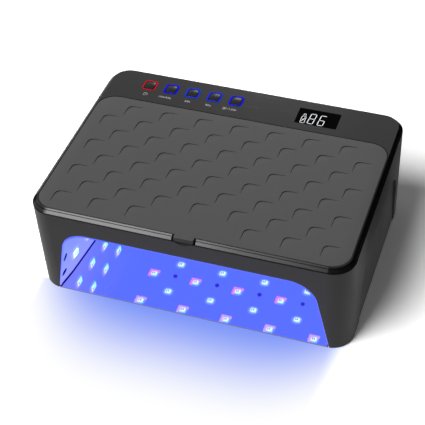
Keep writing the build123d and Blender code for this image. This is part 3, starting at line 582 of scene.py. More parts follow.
@dataclass(frozen=True)
class BeadHalo(Finish):
    """A painted halo of a bead's light: a thin sheet round the bead, glowing at its middle and
    fading out over the liner.
    """

    light: Colour
    strength: float
    share: float = 0.5
    inner_mm: float = 3.0
    outer_mm: float = 5.8
    body: Colour = (0.05, 0.06, 0.2)

    def surface(self, bench: Bench) -> Signal:
        """The fading painted halo.

        Args:
            bench: the material's bench.

        Returns:
            The shader.
        """
        reach = bench.bead_reach(2.4)
        fade = (1 - reach.ramp(self.inner_mm, self.outer_mm)) * self.share
        roughness = 0.3 + reach.ramp(0.0, self.outer_mm) * 0.2
        return bench.skin({"Base Color": self.body, "Roughness": roughness, "Alpha": fade,
                           "Emission Color": self.light, "Emission Strength": self.strength,
                           "IOR": 1.1})


@dataclass(frozen=True)
class RingLight(Finish):
    """A ring lit from below, brightest along the middle of its band."""

    node: str
    light: Colour
    strength: float = 1.25
    corner_mm: float = 3.2
    inner_edge: Pair = (-1.2, -0.8)
    outer_edge: Pair = (-0.32, -0.02)
    unlit: float = 0.04
    body: float = 0.08

    def surface(self, bench: Bench) -> Signal:
        """The lit ring, round its node's own middle.

        Args:
            bench: the material's bench.

        Returns:
            The shader.
        """
        low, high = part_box(self.node)
        middle, half = (low + high) / 2 / MM, (high - low) / 2 / MM
        x, y, _ = bench.axes()
        over = abs(x - middle.x) - (half.x - self.corner_mm)
        down = abs(y - middle.y) - (half.y - self.corner_mm)
        round_part = (over.largest(0.0) ** 2.0 + down.largest(0.0) ** 2.0) ** 0.5
        edge = round_part + over.largest(down).smallest(0.0) - self.corner_mm
        lit = edge.ramp(*self.inner_edge) * (1 - edge.ramp(*self.outer_edge))
        colour = bench.blend(lit, shade(self.light, self.unlit), self.light)
        return bench.skin({"Base Color": shade(self.light, self.body), "IOR": 1.12,
                           "Roughness": 0.3 + lit * 0.1, "Emission Color": colour,
                           "Emission Strength": self.strength})


@dataclass(frozen=True)
class CircuitBoard(Finish):
    """Solder mask over copper tracks, with tinned pads."""

    mask: Colour
    track: Colour
    pad: Colour = (0.72, 0.72, 0.7)
    pitch_mm: float = 3.2
    track_edge: Pair = (0.86, 0.93)
    pad_mm: float = 5.5
    pad_edge: Pair = (0.1, 0.13)
    wander_mm: float = 14.0
    wander_by: float = 6.0
    relief_mm: float = 0.03

    def surface(self, bench: Bench) -> Signal:
        """The board's face.

        Args:
            bench: the material's bench.

        Returns:
            The shader.
        """
        x, y, z = bench.axes()
        wander = bench.noise(self.wander_mm, 1.0) * self.wander_by
        across = ((x + z + wander) / self.pitch_mm).sine()
        along = ((y + z * 0.5 + wander) / self.pitch_mm).sine()
        tracks = across.largest(along).ramp(*self.track_edge)
        pads = 1 - bench.cells(self.pad_mm).ramp(*self.pad_edge)
        colour = bench.blend(tracks, self.mask, self.track)
        colour = bench.blend(pads, colour, self.pad)
        roughness = 0.34 + (bench.noise(3.0) - 0.5) * 0.12
        normal = bench.bump(tracks.largest(pads), self.relief_mm)
        return bench.skin({"Base Color": colour, "Roughness": roughness, "Normal": normal,
                           "Metallic": pads})


@dataclass(frozen=True)
class WhiteFloor(Finish):
    """A white floor that keeps the shadow, with the lamp's blue light painted on it in front."""

    level: float = 1.6
    plain: Pair = (320.0, 620.0)
    gloss_lift: float = 0.16
    bounce: Colour = (0.75, 0.75, 0.75)
    front_bounce: Colour = (0.7, 0.68, 0.45)
    right_edge: Pair = (116.0, 146.0)
    left_edge: Pair = (132.0, 152.0)
    front_edge: Pair = (-9.0, -7.0)
    mouth_y: float = 93.0
    glow: Colour = (0.19, 0.295, 0.94)
    glow_x: float = 5.0
    glow_half: float = 157.0
    glow_reach: float = 114.0
    glow_start: float = -12.0
    glow_edge: Pair = (0.95, 1.05)

    def surface(self, bench: Bench) -> Signal:
        """The floor: white to the camera, a little of it unshaded to gloss, and the lamp's blue
        light painted on it in front.

        Args:
            bench: the material's bench.

        Returns:
            The shader.
        """
        x, y, _ = bench.axes()
        seen = bench.seen()
        camera = bench.node("ShaderNodeLightPath", output="Is Camera Ray")
        outward = -self.mouth_y - y
        beside = x.ramp(*self.right_edge).largest((0.0 - x).ramp(*self.left_edge))
        in_front = outward.ramp(*self.front_edge) * (1 - beside)
        white = bench.blend(seen, bench.blend(in_front, self.bounce, self.front_bounce), WHITE)
        lit = bench.matte(bench.blend(camera, white, shade(WHITE, self.level)))
        far = ((x * x + y * y) ** 0.5).ramp(*self.plain)
        unshaded = (far * seen).largest((seen - camera) * self.gloss_lift)
        ground = bench.mix(unshaded, lit, bench.unshaded(WHITE))
        # Painted light: an unshaded pool of blue in front of the mouth stands for the lamp's
        # light on the floor.
        sideways = (abs(x - self.glow_x) / self.glow_half) ** 4.0
        reach = (outward - self.glow_start) / self.glow_reach + sideways
        glow = bench.blend(reach.ramp(0.0, 1.0), self.glow, WHITE)
        share = (1 - reach.ramp(*self.glow_edge)) * in_front * camera
        return bench.mix(share, ground, bench.unshaded(glow))


@dataclass(frozen=True)
class BlackCard(Finish):
    """The dead black of a card that gloss sees."""

    def surface(self, bench: Bench) -> Signal:
        """The black."""
        return bench.matte((0.0, 0.0, 0.0))


class Palette(Enum):
    """Every finish of the lamp but the rings'."""

    # the shell gets painted shade on faces that point down, such as the ledge over the side grips
    CASE = MouldedPlastic("case_black", (0.019, 0.0188, 0.0184), roughness=0.42, ior=1.27,
                          underside=0.85)
    # the cover gets two dull dark painted bands: shade at the bevel's foot where it meets the
    # shell, and a dark reflection across the bevel's middle
    COVER = PolishedPlastic("cover_gloss_black", (0.004, 0.004, 0.004), roughness=0.2,
                            ior=1.34, joints=((95.35, 0.16), (92.95, 0.22)))
    CARRIER = MouldedPlastic("carrier_black", (0.02, 0.02, 0.021), roughness=0.55)
    PAD = Silicone("pad_grey_silicone", (0.058, 0.058, 0.058))
    # the plate gets painted shade on its upright edges
    PLATE = Metal("plate_mirror_steel", (0.62, 0.63, 0.66), roughness=0.035, scatter=0.02,
                  edge_shade_level=0.3)
    FOOT = MouldedPlastic("foot_rubber", (0.02, 0.02, 0.02), roughness=0.75, grain_mm=0.7)
    BOLT = Metal("fixing_zinc", (0.6, 0.6, 0.62), roughness=0.3, line_length=2.0)
    NICKEL = Metal("magnet_nickel", (0.7, 0.7, 0.72), roughness=0.22, line_length=2.0)
    BRASS = Metal("pin_brass", (0.8, 0.62, 0.3), roughness=0.25, line_length=2.0)
    LINER = LitLiner("liner_lit_blue", wall=(0.12, 0.16, 1.0), foot=(0.205, 0.215, 1.0),
                     ceiling=(0.098, 0.152, 1.0))
    LED_MASK = CircuitBoard("led_board_white", (0.75, 0.76, 0.78), (0.62, 0.63, 0.66))
    GREEN_MASK = CircuitBoard("board_green", (0.012, 0.1, 0.035), (0.03, 0.2, 0.07))
    SENSOR = PolishedPlastic("sensor_lens_dark", (0.004, 0.003, 0.04), roughness=0.3, ior=1.12)
    INNER_BLACK = MouldedPlastic("inner_black", (0.025, 0.025, 0.027), roughness=0.45)
    WINDOW = PolishedPlastic("window_smoked", (0.0003, 0.0003, 0.0003), roughness=0.06, haze=0.03,
                             ripple_mm=0.001, ior=1.05)
    CELL = PolishedPlastic("cell_wrap_blue", (0.02, 0.12, 0.32), roughness=0.3, haze=0.15)
    TRAY = MouldedPlastic("tray_black", (0.03, 0.03, 0.032), roughness=0.5, grain_mm=0.8)
    LEAD = PolishedPlastic("lead_red", (0.3, 0.02, 0.02), roughness=0.4, haze=0.1)
    BUTTON = PolishedPlastic("button_gloss_black", (0.003, 0.003, 0.004), roughness=0.22,
                             ior=1.26)
    BEAD_BODY = BeadLight("bead_lit_body", (0.35, 0.6, 1.0), (0.12, 0.2, 1.0), 1.7)
    BEAD_LENS = BeadLight("bead_lit_lens", (0.85, 1.0, 1.0), (0.25, 0.65, 1.0), 1.8,
                          core_mm=2.2, rim_mm=3.4)
    BEAD_CYAN = BeadLight("bead_lit_cyan", (0.35, 1.0, 1.0), (0.2, 0.7, 1.0), 1.7)
    BEAD_GAP = Glow("bead_gap_blue", (0.01, 0.14, 0.7), 1.0, body=(0.05, 0.08, 0.3))
    BEAD_FRINGE = Glow("bead_lit_violet", (0.95, 0.17, 1.0), 1.5, unevenness=0.2)
    BEAD_PALE = Glow("bead_lit_lilac", (0.85, 0.38, 1.0), 1.3, unevenness=0.2)
    BEAD_HALO = BeadHalo("bead_halo", (0.25, 0.4, 1.0), 1.6)
    # the screw heads inside the chamber are no lamps: the lamp's blue light on them is painted as
    # their own glow
    LINER_BOLT = Glow("fixing_in_blue_light", (0.03, 0.014, 0.62), 1.2, body=(0.01, 0.01, 0.1))
    DIGIT = Glow("digit_white", (0.92, 0.95, 1.0), 0.9, body=(0.3, 0.3, 0.3))
    INK = MouldedPlastic("print_white_ink", (0.5, 0.5, 0.5), roughness=0.5, grain_mm=0.3)

    def material(self) -> bpy.types.Material:
        """This finish's material, made on its first use."""
        return bpy.data.materials.get(self.value.name) or self.value.make()


class Workpiece:
    """A mesh in the making, in millimetres."""

    def __init__(self) -> None:
        """Start with an empty mesh."""
        self.bm = bmesh.new()

    def sheet(self, size: Pair, centre: Pair, height: float) -> list[bmesh.types.BMVert]:
        """Add a flat rectangle at a height, and return its corners."""
        shape = Matrix.Translation((*centre, height)) @ Matrix.Diagonal((*size, 1.0, 1.0))
        return bmesh.ops.create_grid(self.bm, x_segments=1, y_segments=1, size=0.5,
                                     matrix=shape)["verts"]

    def round_off(self, corners: list[bmesh.types.BMVert], radius: float,
                  segments: int) -> bmesh.types.BMFace:
        """Round a flat face's corners, and return the face."""
        bent = bmesh.ops.bevel(self.bm, geom=corners, offset=radius, offset_type="OFFSET",
                               segments=segments, profile=0.5, affect="VERTICES", material=-1)
        return bent["verts"][0].link_faces[0]

    def plate(self, size: Pair, radius: float, bottom: float, top: float,
              centre: Pair = (0.0, 0.0), segments: int = 6,
              material: int = 0) -> list[bmesh.types.BMVert]:
        """Add a rounded plate between two heights.

        Args:
            size: its width along X and length along Y.
            radius: its corner radius.
            bottom: its lower face.
            top: its upper face.
            centre: X and Y of its middle.
            segments: how many edges round each corner.
            material: the material's number.

        Returns:
            Its vertices.
        """
        face = self.round_off(self.sheet(size, centre, bottom), radius, segments)
        upper = made_verts(
            bmesh.ops.extrude_face_region(self.bm, geom=[face], use_keep_orig=True))
        bmesh.ops.translate(self.bm, verts=upper, vec=(0, 0, top - bottom))
        solid = list(face.verts) + upper
        shell = list({part for vert in solid for part in vert.link_faces})
        for part in shell:
            part.material_index = material
        bmesh.ops.recalc_face_normals(self.bm, faces=shell)
        return solid

    def pull(self, edges: list[bmesh.types.BMEdge], step: Point) -> None:
        """Extrude open edges by a step."""
        ends = made_verts(bmesh.ops.extrude_edge_only(self.bm, edges=edges))
        bmesh.ops.translate(self.bm, verts=ends, vec=step)

    def stamp(self, mesh: bpy.types.Mesh, place: Matrix) -> None:
        """Add a copy of a mesh at a place.

        Args:
            mesh: the mesh to copy, in millimetres.
            place: where it goes.
        """
        before = len(self.bm.verts)
        self.bm.from_mesh(mesh)
        self.bm.verts.ensure_lookup_table()
        bmesh.ops.transform(self.bm, matrix=place, verts=self.bm.verts[before:])

    def to_mesh(self, name: str) -> bpy.types.Mesh:
        """Turn the work into a mesh, still in millimetres.

        Args:
            name: the mesh's name.

        Returns:
            The mesh.
        """
        mesh = bpy.data.meshes.new(name)
        self.bm.to_mesh(mesh)
        self.bm.free()
        return mesh

    def finish(self, name: str, finishes: list[Palette], body: str, slot: str,
               smooth_below: float = 40.0) -> bpy.types.Object:
        """Turn the work into a piece of the lamp, in metres.

        Args:
            name: the piece's name.
            finishes: a finish for each material number.
            body: the body that it rides on.
            slot: a material slot's name, which is not used.
            smooth_below: edges flatter than this many degrees are shaded smooth.

        Returns:
            The piece.
        """
        mesh = self.to_mesh(name)
        mesh.transform(Matrix.Scale(MM, 4))
        for finish in finishes:
            mesh.materials.append(finish.material())
        mesh.shade_smooth()
        mesh.set_sharp_from_angle(angle=math.radians(smooth_below))
        piece = add_object(name, mesh)
        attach(piece, body)
        log.info("piece %s on %s, %d faces", name, body, len(mesh.polygons))
        return piece


@dataclass
class HandRest:
    """The soft pad: a thin silicone mat with a staggered relief of rounded tiles."""

    half_width: float = 130.6
    front: float = -98.1
    rear: float = 57.7
    radius: float = 16.4
    underside: float = 94.6
    tab_half: float = 8.5
    tab_front: float = -102.2
    tab_foot: float = 93.0
    tab_radius: float = 1.0
    lip: Pair = (16.0, 0.7)
    lip_radius: float = 0.2
    lip_overlap: float = 0.05
    rim: float = 0.8
    rim_steps: int = 3
    tile: Pair = (14.6, 15.4)
    tile_radius: float = 5.0
    tile_depth: float = 0.6
    tile_wall: float = 0.42
    leg_steps: tuple[float, ...] = (0.55, 0.8)
    pitch: Pair = (32.15, 17.65)
    first: Pair = (-102.3, 48.1)
    rows: int = 8
    columns: int = 7
    bare: tuple[tuple[int, int], ...] = ((7, 3), (7, 4))

    def build(self) -> bpy.types.Object:
        """Model the pad and dress it.

        Returns:
            The pad's piece.
        """
        work = Workpiece()
        rim_face = self._rounded_rim(work, self._outline(work))
        self._relief(work, rim_face)
        self._close_underside(work)
        work.plate(self.lip, self.lip_radius, self.tab_foot, self.underside + self.lip_overlap,
                   (0.0, self.tab_front + self.lip[1] / 2), segments=2)
        pad = work.finish("hand_rest_pad_soft", [Palette.PAD], "hand_rest", "pad_silicone", 30.0)
        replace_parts(pad, "hand_rest_pad")
        return pad

    def _outline(self, work: Workpiece) -> bmesh.types.BMFace:
        """The pad seen from above, tab and all, at the foot of the rounded rim.

        Args:
            work: the mesh in the making.

        Returns:
            The outline as one face.
        """
        bm = work.bm
        work.round_off(work.sheet((2 * self.half_width, self.rear - self.front),
                                  (0, (self.front + self.rear) / 2), TOP - self.rim),
                       self.radius, 12)
        for side in (-1, 1):
            bmesh.ops.bisect_plane(bm, geom=bm.verts[:] + bm.edges[:] + bm.faces[:],
                                   plane_co=(side * self.tab_half, 0, 0), plane_no=(1, 0, 0))
        lip = [edge for edge in bm.edges
               if all(abs(v.co.y - self.front) < NEAR and abs(v.co.x) < self.tab_half + NEAR
                      for v in edge.verts)]
        work.pull(lip, (0, self.tab_front - self.front, 0))
        bmesh.ops.dissolve_faces(bm, faces=bm.faces[:])
        spare = [v for v in bm.verts if abs(abs(v.co.x) - self.tab_half) < NEAR
                 and v.co.y > self.front + NEAR]
        bmesh.ops.dissolve_verts(bm, verts=spare)
        tips = [v for v in bm.verts if v.co.y < self.front - NEAR]
        face = work.round_off(tips, self.tab_radius, 4)
        if face.normal.z < 0:
            bmesh.ops.reverse_faces(bm, faces=[face])
        return face

    def _rounded_rim(self, work: Workpiece, face: bmesh.types.BMFace) -> bmesh.types.BMFace:
        """Step the outline in and up along a quarter circle.

        Args:
            work: the mesh in the making.
            face: the outline's face.

        Returns:
            The flat face inside the rim.
        """
        along, up = 0.0, 0.0
        for step in range(1, self.rim_steps + 1):
            angle = math.pi / 2 * step / self.rim_steps
            next_along = self.rim * (1 - math.cos(angle))
            next_up = self.rim * math.sin(angle)
            bmesh.ops.inset_region(work.bm, faces=[face], thickness=next_along - along,
                                   depth=next_up - up, use_even_offset=True,
                                   use_boundary=True)
            along, up = next_along, next_up
        return face

    def _tile_corners(self) -> list[Pair]:
        """The rear left corner of every tile; odd rows have one more, half a pitch over.

        Returns:
            X and Y of each corner.
        """
        corners = []
        for row in range(self.rows):
            odd = row % 2
            for column in range(self.columns + odd):
                if (row, column) not in self.bare:
                    corners.append((self.first[0] + self.pitch[0] * (column - odd / 2),
                                    self.first[1] - self.pitch[1] * row))
        return corners

    def _tile_outline(self) -> bpy.types.Mesh:
        """One tile as a rounded corner closed by its diagonal, with the corner at the origin.

        Returns:
            The tile's mesh.
        """
        work = Workpiece()
        width, length = self.tile
        left_leg = [(0, -length * share, TOP) for share in (*self.leg_steps, 1.0)]
        rear_leg = [(width * share, 0, TOP) for share in (1.0, *reversed(self.leg_steps))]
        verts = [work.bm.verts.new(spot) for spot in [(0, 0, TOP), *left_leg, *rear_leg]]
        work.bm.faces.new(verts)
        work.round_off([verts[0]], self.tile_radius, 6)
        return work.to_mesh("tile_outline")

    def _relief(self, work: Workpiece, face: bmesh.types.BMFace) -> None:
        """Fill the flat top round its tiles and sink each tile towards its corner.

        Args:
            work: the mesh in the making.
            face: the flat face inside the rim.
        """
        bm = work.bm
        bmesh.ops.delete(bm, geom=[face], context="FACES_ONLY")
        net = [edge for edge in bm.edges
               if all(abs(v.co.z - TOP) < NEAR for v in edge.verts)]
        tile = self._tile_outline()
        order = list(tile.polygons[0].vertices)
        rings = []
        for x, y in self._tile_corners():
            start = len(bm.verts)
            work.stamp(tile, Matrix.Translation((x, y, 0)))
            bm.verts.ensure_lookup_table()
            rings.append([bm.verts[start + number] for number in order])
        stamped = {vert for ring in rings for vert in ring}
        inner = [f for f in bm.faces if all(v in stamped for v in f.verts)]
        bmesh.ops.delete(bm, geom=inner, context="FACES_ONLY")
        net += [edge for edge in bm.edges if all(v in stamped for v in edge.verts)]
        bmesh.ops.triangle_fill(bm, use_beauty=True, use_dissolve=False, edges=net,
                                normal=(0, 0, 1))
        floors = [bm.faces.get(ring) or bm.faces.new(ring) for ring in rings]
        sunk = made_verts(bmesh.ops.extrude_face_region(bm, geom=floors))
        bmesh.ops.delete(bm, geom=floors, context="FACES_ONLY")
        fall = Vector((self.tile_wall, -self.tile_wall, -self.tile_depth))
        for vert in sunk:
            vert.co += fall * self._sink_share(vert.co)
        bmesh.ops.remove_doubles(bm, verts=bm.verts[:], dist=NEAR)

    def _sink_share(self, spot: Vector) -> float:
        """How far the tile that holds a spot is sunk there.

        Args:
            spot: a point on a tile's edge.

        Returns:
            One at the tile's corner, nought along its diagonal.
        """
        width, length = self.tile
        shares = [0.0]
        for x, y in self._tile_corners():
            over, down = (spot.x - x) / width, (y - spot.y) / length
            if all(-NEAR < share < 1 + NEAR for share in (over, down)):
                shares.append(1 - (over + down) ** 3)
        return max(shares)

    def _close_underside(self, work: Workpiece) -> None:
        """Drop the outer edge to the underside and close it.

        Args:
            work: the mesh in the making.
        """
        bm = work.bm
        work.pull([edge for edge in bm.edges if edge.is_boundary],
                  (0, 0, self.underside - TOP + self.rim))
        bmesh.ops.contextual_create(bm, geom=[edge for edge in bm.edges if edge.is_boundary])
        bmesh.ops.recalc_face_normals(bm, faces=bm.faces[:])


class BeadKind(Enum):
    """The beads' looks."""

    PLAIN = "plain"
    VIOLET = "violet"
    LILAC = "lilac"
    SIDE = "side"


@dataclass
class LampBeads:
    """Square lamp beads with a lit block, dark bond lines, a painted halo of light and violet
    edges.
    """

    size: float = 7.4
    corner: float = 1.2
    proud: float = 1.2
    shoulder: float = 0.5
    depth: float = 1.5
    crown: float = 0.3
    block: Pair = (5.7, 5.0)
    block_offset: Pair = (0.6, -0.7)
    block_radius: float = 0.5
    mark_rise: Pair = (0.04, -0.1)
    halo_size: float = 12.0
    halo_radius: float = 3.0
    halo_rise: Pair = (0.1, 0.04)
    slot: Pair = (0.9, 2.6)
    slots: tuple[Pair, ...] = ((-1.1, -0.2), (0.6, 0.0))
    glint: tuple[Pair, Pair] = ((1.9, 0.6), (1.3, 1.9))
    side_cyan: tuple[Pair, Pair] = ((2.4, 4.6), (1.4, -0.7))
    side_pale: tuple[Pair, Pair] = ((1.4, 4.6), (-3.2, -0.5))
    frame: float = 9.8
    frame_band: Pair = (2.6, 2.9)
    frame_short: float = 0.9
    frame_radius: float = 0.5
    frame_rise: Pair = (0.7, 0.1)
    side_growth: Pair = (1.35, 1.2)
    row_kinds: tuple[BeadKind, ...] = (BeadKind.PLAIN, BeadKind.VIOLET, BeadKind.PLAIN,
                                       BeadKind.LILAC, BeadKind.PLAIN, BeadKind.LILAC)
    floor_z: float = 80.0
    lean: float = math.radians(3.0)
    splay: float = 11.0 / 129.0
    back: Pair = (56.0, 103.5)
    end_y: float = 66.0
    array_x: float = 6.0
    array_pitch: Pair = (41.6, 18.7)
    array_first_y: float = 36.7
    side_spots: tuple[Pair, ...] = ((-68, 20), (-43, 20), (-18, 20),
                                    (-48, 45), (-23, 45), (3, 45))
    rear_x: tuple[float, ...] = (-64, -32, 0, 32, 64)
    rear_z: float = 40.0
    finishes: list[Palette] = field(default_factory=lambda: [
        Palette.BEAD_BODY, Palette.BEAD_LENS, Palette.BEAD_CYAN, Palette.BEAD_FRINGE,
        Palette.BEAD_GAP, Palette.BEAD_HALO, Palette.BEAD_PALE])

    def build(self) -> list[bpy.types.Object]:
        """Model the ceiling's, the side walls' and the rear wall's beads.

        Returns:
            The four pieces.
        """
        beads = {kind: self._bead(kind) for kind in BeadKind}
        right = [(beads[BeadKind.SIDE], self._side_place(y, z)) for y, z in self.side_spots]
        groups = {
            "ceiling": [(beads[kind], place) for kind, place in self._ceiling_places()],
            "right": right,
            "left": [(bead, FLIP @ place) for bead, place in right],
            "rear": [(beads[BeadKind.PLAIN], self._rear_place(x)) for x in self.rear_x],
        }
        return [self._group(name, group) for name, group in groups.items()]

    def _group(self, name: str, beads: list[tuple[bpy.types.Mesh, Matrix]]) -> bpy.types.Object:
        """One group of beads as a piece.

        Args:
            name: which wall they are on.
            beads: each bead's mesh and place.

        Returns:
            The piece.
        """
        work = Workpiece()
        for mesh, place in beads:
            work.stamp(mesh, place)
        bmesh.ops.recalc_face_normals(work.bm, faces=work.bm.faces[:])
        piece = work.finish(f"{name}_lamp_beads", self.finishes, "housing", "bead_lens", 30.0)
        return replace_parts(piece, f"{name}_beads")

    def _bead(self, kind: BeadKind) -> bpy.types.Mesh:
        """One bead, its face towards local -Z.

        Args:
            kind: which look it has.

        Returns:
            The bead's mesh.
        """
        work = Workpiece()
        number = self.finishes.index
        work.plate((self.size, self.size), self.corner, -self.shoulder, self.depth, segments=4)
        work.plate(self.block, self.block_radius, -self.proud, -self.shoulder,
                   self.block_offset, segments=3, material=number(Palette.BEAD_LENS))
        face = [v for v in work.bm.verts if abs(v.co.z + self.proud) < NEAR]
        crown = [e for e in work.bm.edges if all(v in face for v in e.verts)]
        bmesh.ops.bevel(work.bm, geom=crown, offset=self.crown, offset_type="OFFSET", segments=2,
                        profile=0.5, affect="EDGES", material=-1)
        marks = [((self.slot, spot), 0.2, 2, Palette.BEAD_GAP) for spot in self.slots]
        if kind is BeadKind.SIDE:
            marks += [(self.side_cyan, 0.4, 2, Palette.BEAD_CYAN),
                      (self.side_pale, 0.4, 2, Palette.BEAD_PALE)]
        else:
            marks.append((self.glint, 0.1, 1, Palette.BEAD_CYAN))
        low, high = (-self.proud - rise for rise in self.mark_rise)
        for (size, spot), radius, segments, finish in marks:
            work.plate(size, radius, low, high, spot, segments, number(finish))
        # Painted light: a thin sheet round each bead glows and fades out, as the halo of the
        # bead's light on the liner.
        low, high = (-rise for rise in self.halo_rise)
        work.plate((self.halo_size, self.halo_size), self.halo_radius, low, high, segments=4,
                   material=number(Palette.BEAD_HALO))
        if kind is BeadKind.VIOLET:
            self._lit_frame(work, number(Palette.BEAD_FRINGE))
        if kind is BeadKind.LILAC:
            self._lit_frame(work, number(Palette.BEAD_PALE))
        layer = work.bm.loops.layers.uv.new(BEAD_MAP)
        for part in work.bm.faces:
            for loop in part.loops:
                loop[layer].uv = (loop.vert.co.x / BEAD_MAP_MM + 0.5,
                                  loop.vert.co.y / BEAD_MAP_MM + 0.5)
        return work.to_mesh(f"bead_{kind.value}")

    def _lit_frame(self, work: Workpiece, material: int) -> None:
        """Two lit bands along the bead's rear and left edges.

        Args:
            work: the bead in the making.
            material: the material's number.
        """
        low, high = (-rise for rise in self.frame_rise)
        left, rear = self.frame_band
        outside = self.frame / 2
        for size, spot in (
                ((self.frame, rear), (0, outside - rear / 2)),
                ((left, self.frame - rear - self.frame_short),
                 (left / 2 - outside, (self.frame_short - rear) / 2))):
            work.plate(size, self.frame_radius, low, high, spot, 3, material)

    def _ceiling_places(self) -> list[tuple[BeadKind, Matrix]]:
        """Rows of four and five beads in turn, from the rear.

        Returns:
            Each ceiling bead's look and place.
        """
        places = []
        for row, kind in enumerate(self.row_kinds):
            count = 4 + row % 2
            for step in range(count):
                x = self.array_x + self.array_pitch[0] * (step - (count - 1) / 2)
                y = self.array_first_y - row * self.array_pitch[1]
                places.append((kind, Matrix.Translation((x, y, self.floor_z))))
        return places

    def _side_place(self, y: float, z: float) -> Matrix:
        """A bead's place on the right-hand wall, with local Z out of the chamber.

        Args:
            y: its place along the wall.
            z: its height.

        Returns:
            The place.
        """
        slope = math.tan(self.lean)
        along = Vector((-self.splay, 1, 0)).normalized()
        outward = along.cross(Vector((-slope, 0, 1)).normalized()).normalized()
        upward = outward.cross(along)
        x = self.back[1] + self.splay * (self.back[0] - y) - z * slope
        growth = Matrix.Diagonal((*self.side_growth, 1, 1))
        return placed((x, y, z), along, upward, outward) @ growth

    def _rear_place(self, x: float) -> Matrix:
        """A bead's place on the rear wall, with local Z to the rear.

        Args:
            x: its place along the wall.

        Returns:
            The place.
        """
        y = self.end_y - self.rear_z * math.tan(self.lean)
        turn = Matrix.Rotation(-math.pi / 2 + self.lean, 4, "X")
        return Matrix.Translation((x, y, self.rear_z)) @ turn


@dataclass
class HandSensors:
    """Dark oval eyes set into the flare of the liner's side walls."""

    eyes: tuple[Pair, ...] = ((-89.5, 34.5), (-88.8, 15.5))
    radius: float = 2.6
    stretch: float = 1.7
    dome: float = 0.6
    length: float = 2.0
    stem: float = 0.9
    stem_round: float = 0.88
    stem_top: float = -0.1
    room_half: float = 114.5
    room_front: float = -73.0
    room_lean: float = math.tan(math.radians(3.0))
    mouth_half: float = 117.5
    mouth_lean: float = math.tan(math.radians(10.7))
    throat: float = -89.84
    throat_slope: float = 9.3 / 92.2

    def build(self) -> bpy.types.Object:
        """Model the four eyes.

        Returns:
            The eyes as one piece.
        """
        work = Workpiece()
        for y, z in self.eyes:
            place = self._place(y, z)
            for turn in (place, FLIP @ place):
                self._eye(work, turn)
        bmesh.ops.recalc_face_normals(work.bm, faces=work.bm.faces[:])
        eyes = work.finish("hand_sensor_eyes", [Palette.SENSOR], "housing", "sensor_lens", 50.0)
        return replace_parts(eyes, "hand_sensors")

    def _flare(self, y: float, z: float) -> Vector:
        """A point on the chamber's right-hand flare.

        Args:
            y: its place from front to rear.
            z: its height.

        Returns:
            The point.
        """
        inner = self.room_half - z * self.room_lean
        outer = self.mouth_half - z * self.mouth_lean
        throat = self.throat - z * self.throat_slope
        x = inner + (self.room_front - y) / (self.room_front - throat) * (outer - inner)
        return Vector((x, y, z))

    def _place(self, y: float, z: float) -> Matrix:
        """A right-hand eye's place, with local Z into the chamber.

        Args:
            y: its place from front to rear.
            z: its height.

        Returns:
            The place.
        """
        spot = self._flare(y, z)
        along = self._flare(y + 1, z) - spot
        upward = self._flare(y, z + 1) - spot
        inward = upward.cross(along).normalized()
        if inward.x > 0:
            inward = -inward
        across = along.normalized()
        return placed(spot, across, inward.cross(across), inward)

    def _eye(self, work: Workpiece, place: Matrix) -> None:
        """One domed eye with its stem behind it.

        Args:
            work: the mesh in the making.
            place: where the eye goes.
        """
        width, height = self.stretch * self.radius, self.radius
        dome = bmesh.ops.create_uvsphere(work.bm, u_segments=20, v_segments=10, radius=1.0,
                                         matrix=Matrix.Diagonal((width, height, self.dome, 1)))
        stem = work.plate((2 * self.stem * width, 2 * self.stem * height),
                          self.stem_round * height, -self.length, self.stem_top)
        bmesh.ops.transform(work.bm, matrix=place, verts=dome["verts"] + stem)


@dataclass
class Print:
    """Raised ink on a flat face."""

    face: float = TOP
    ink: float = 0.03
    round_ends: float = 0.45
    sharp: float = 0.1

    def bar(self, work: Workpiece, size: Pair, radius: float, centre: Pair = (0.0, 0.0),
            segments: int = 2) -> list[bmesh.types.BMVert]:
        """Add a rounded bar of ink, and return its vertices."""
        return work.plate(size, radius, self.face, self.face + self.ink, centre, segments)


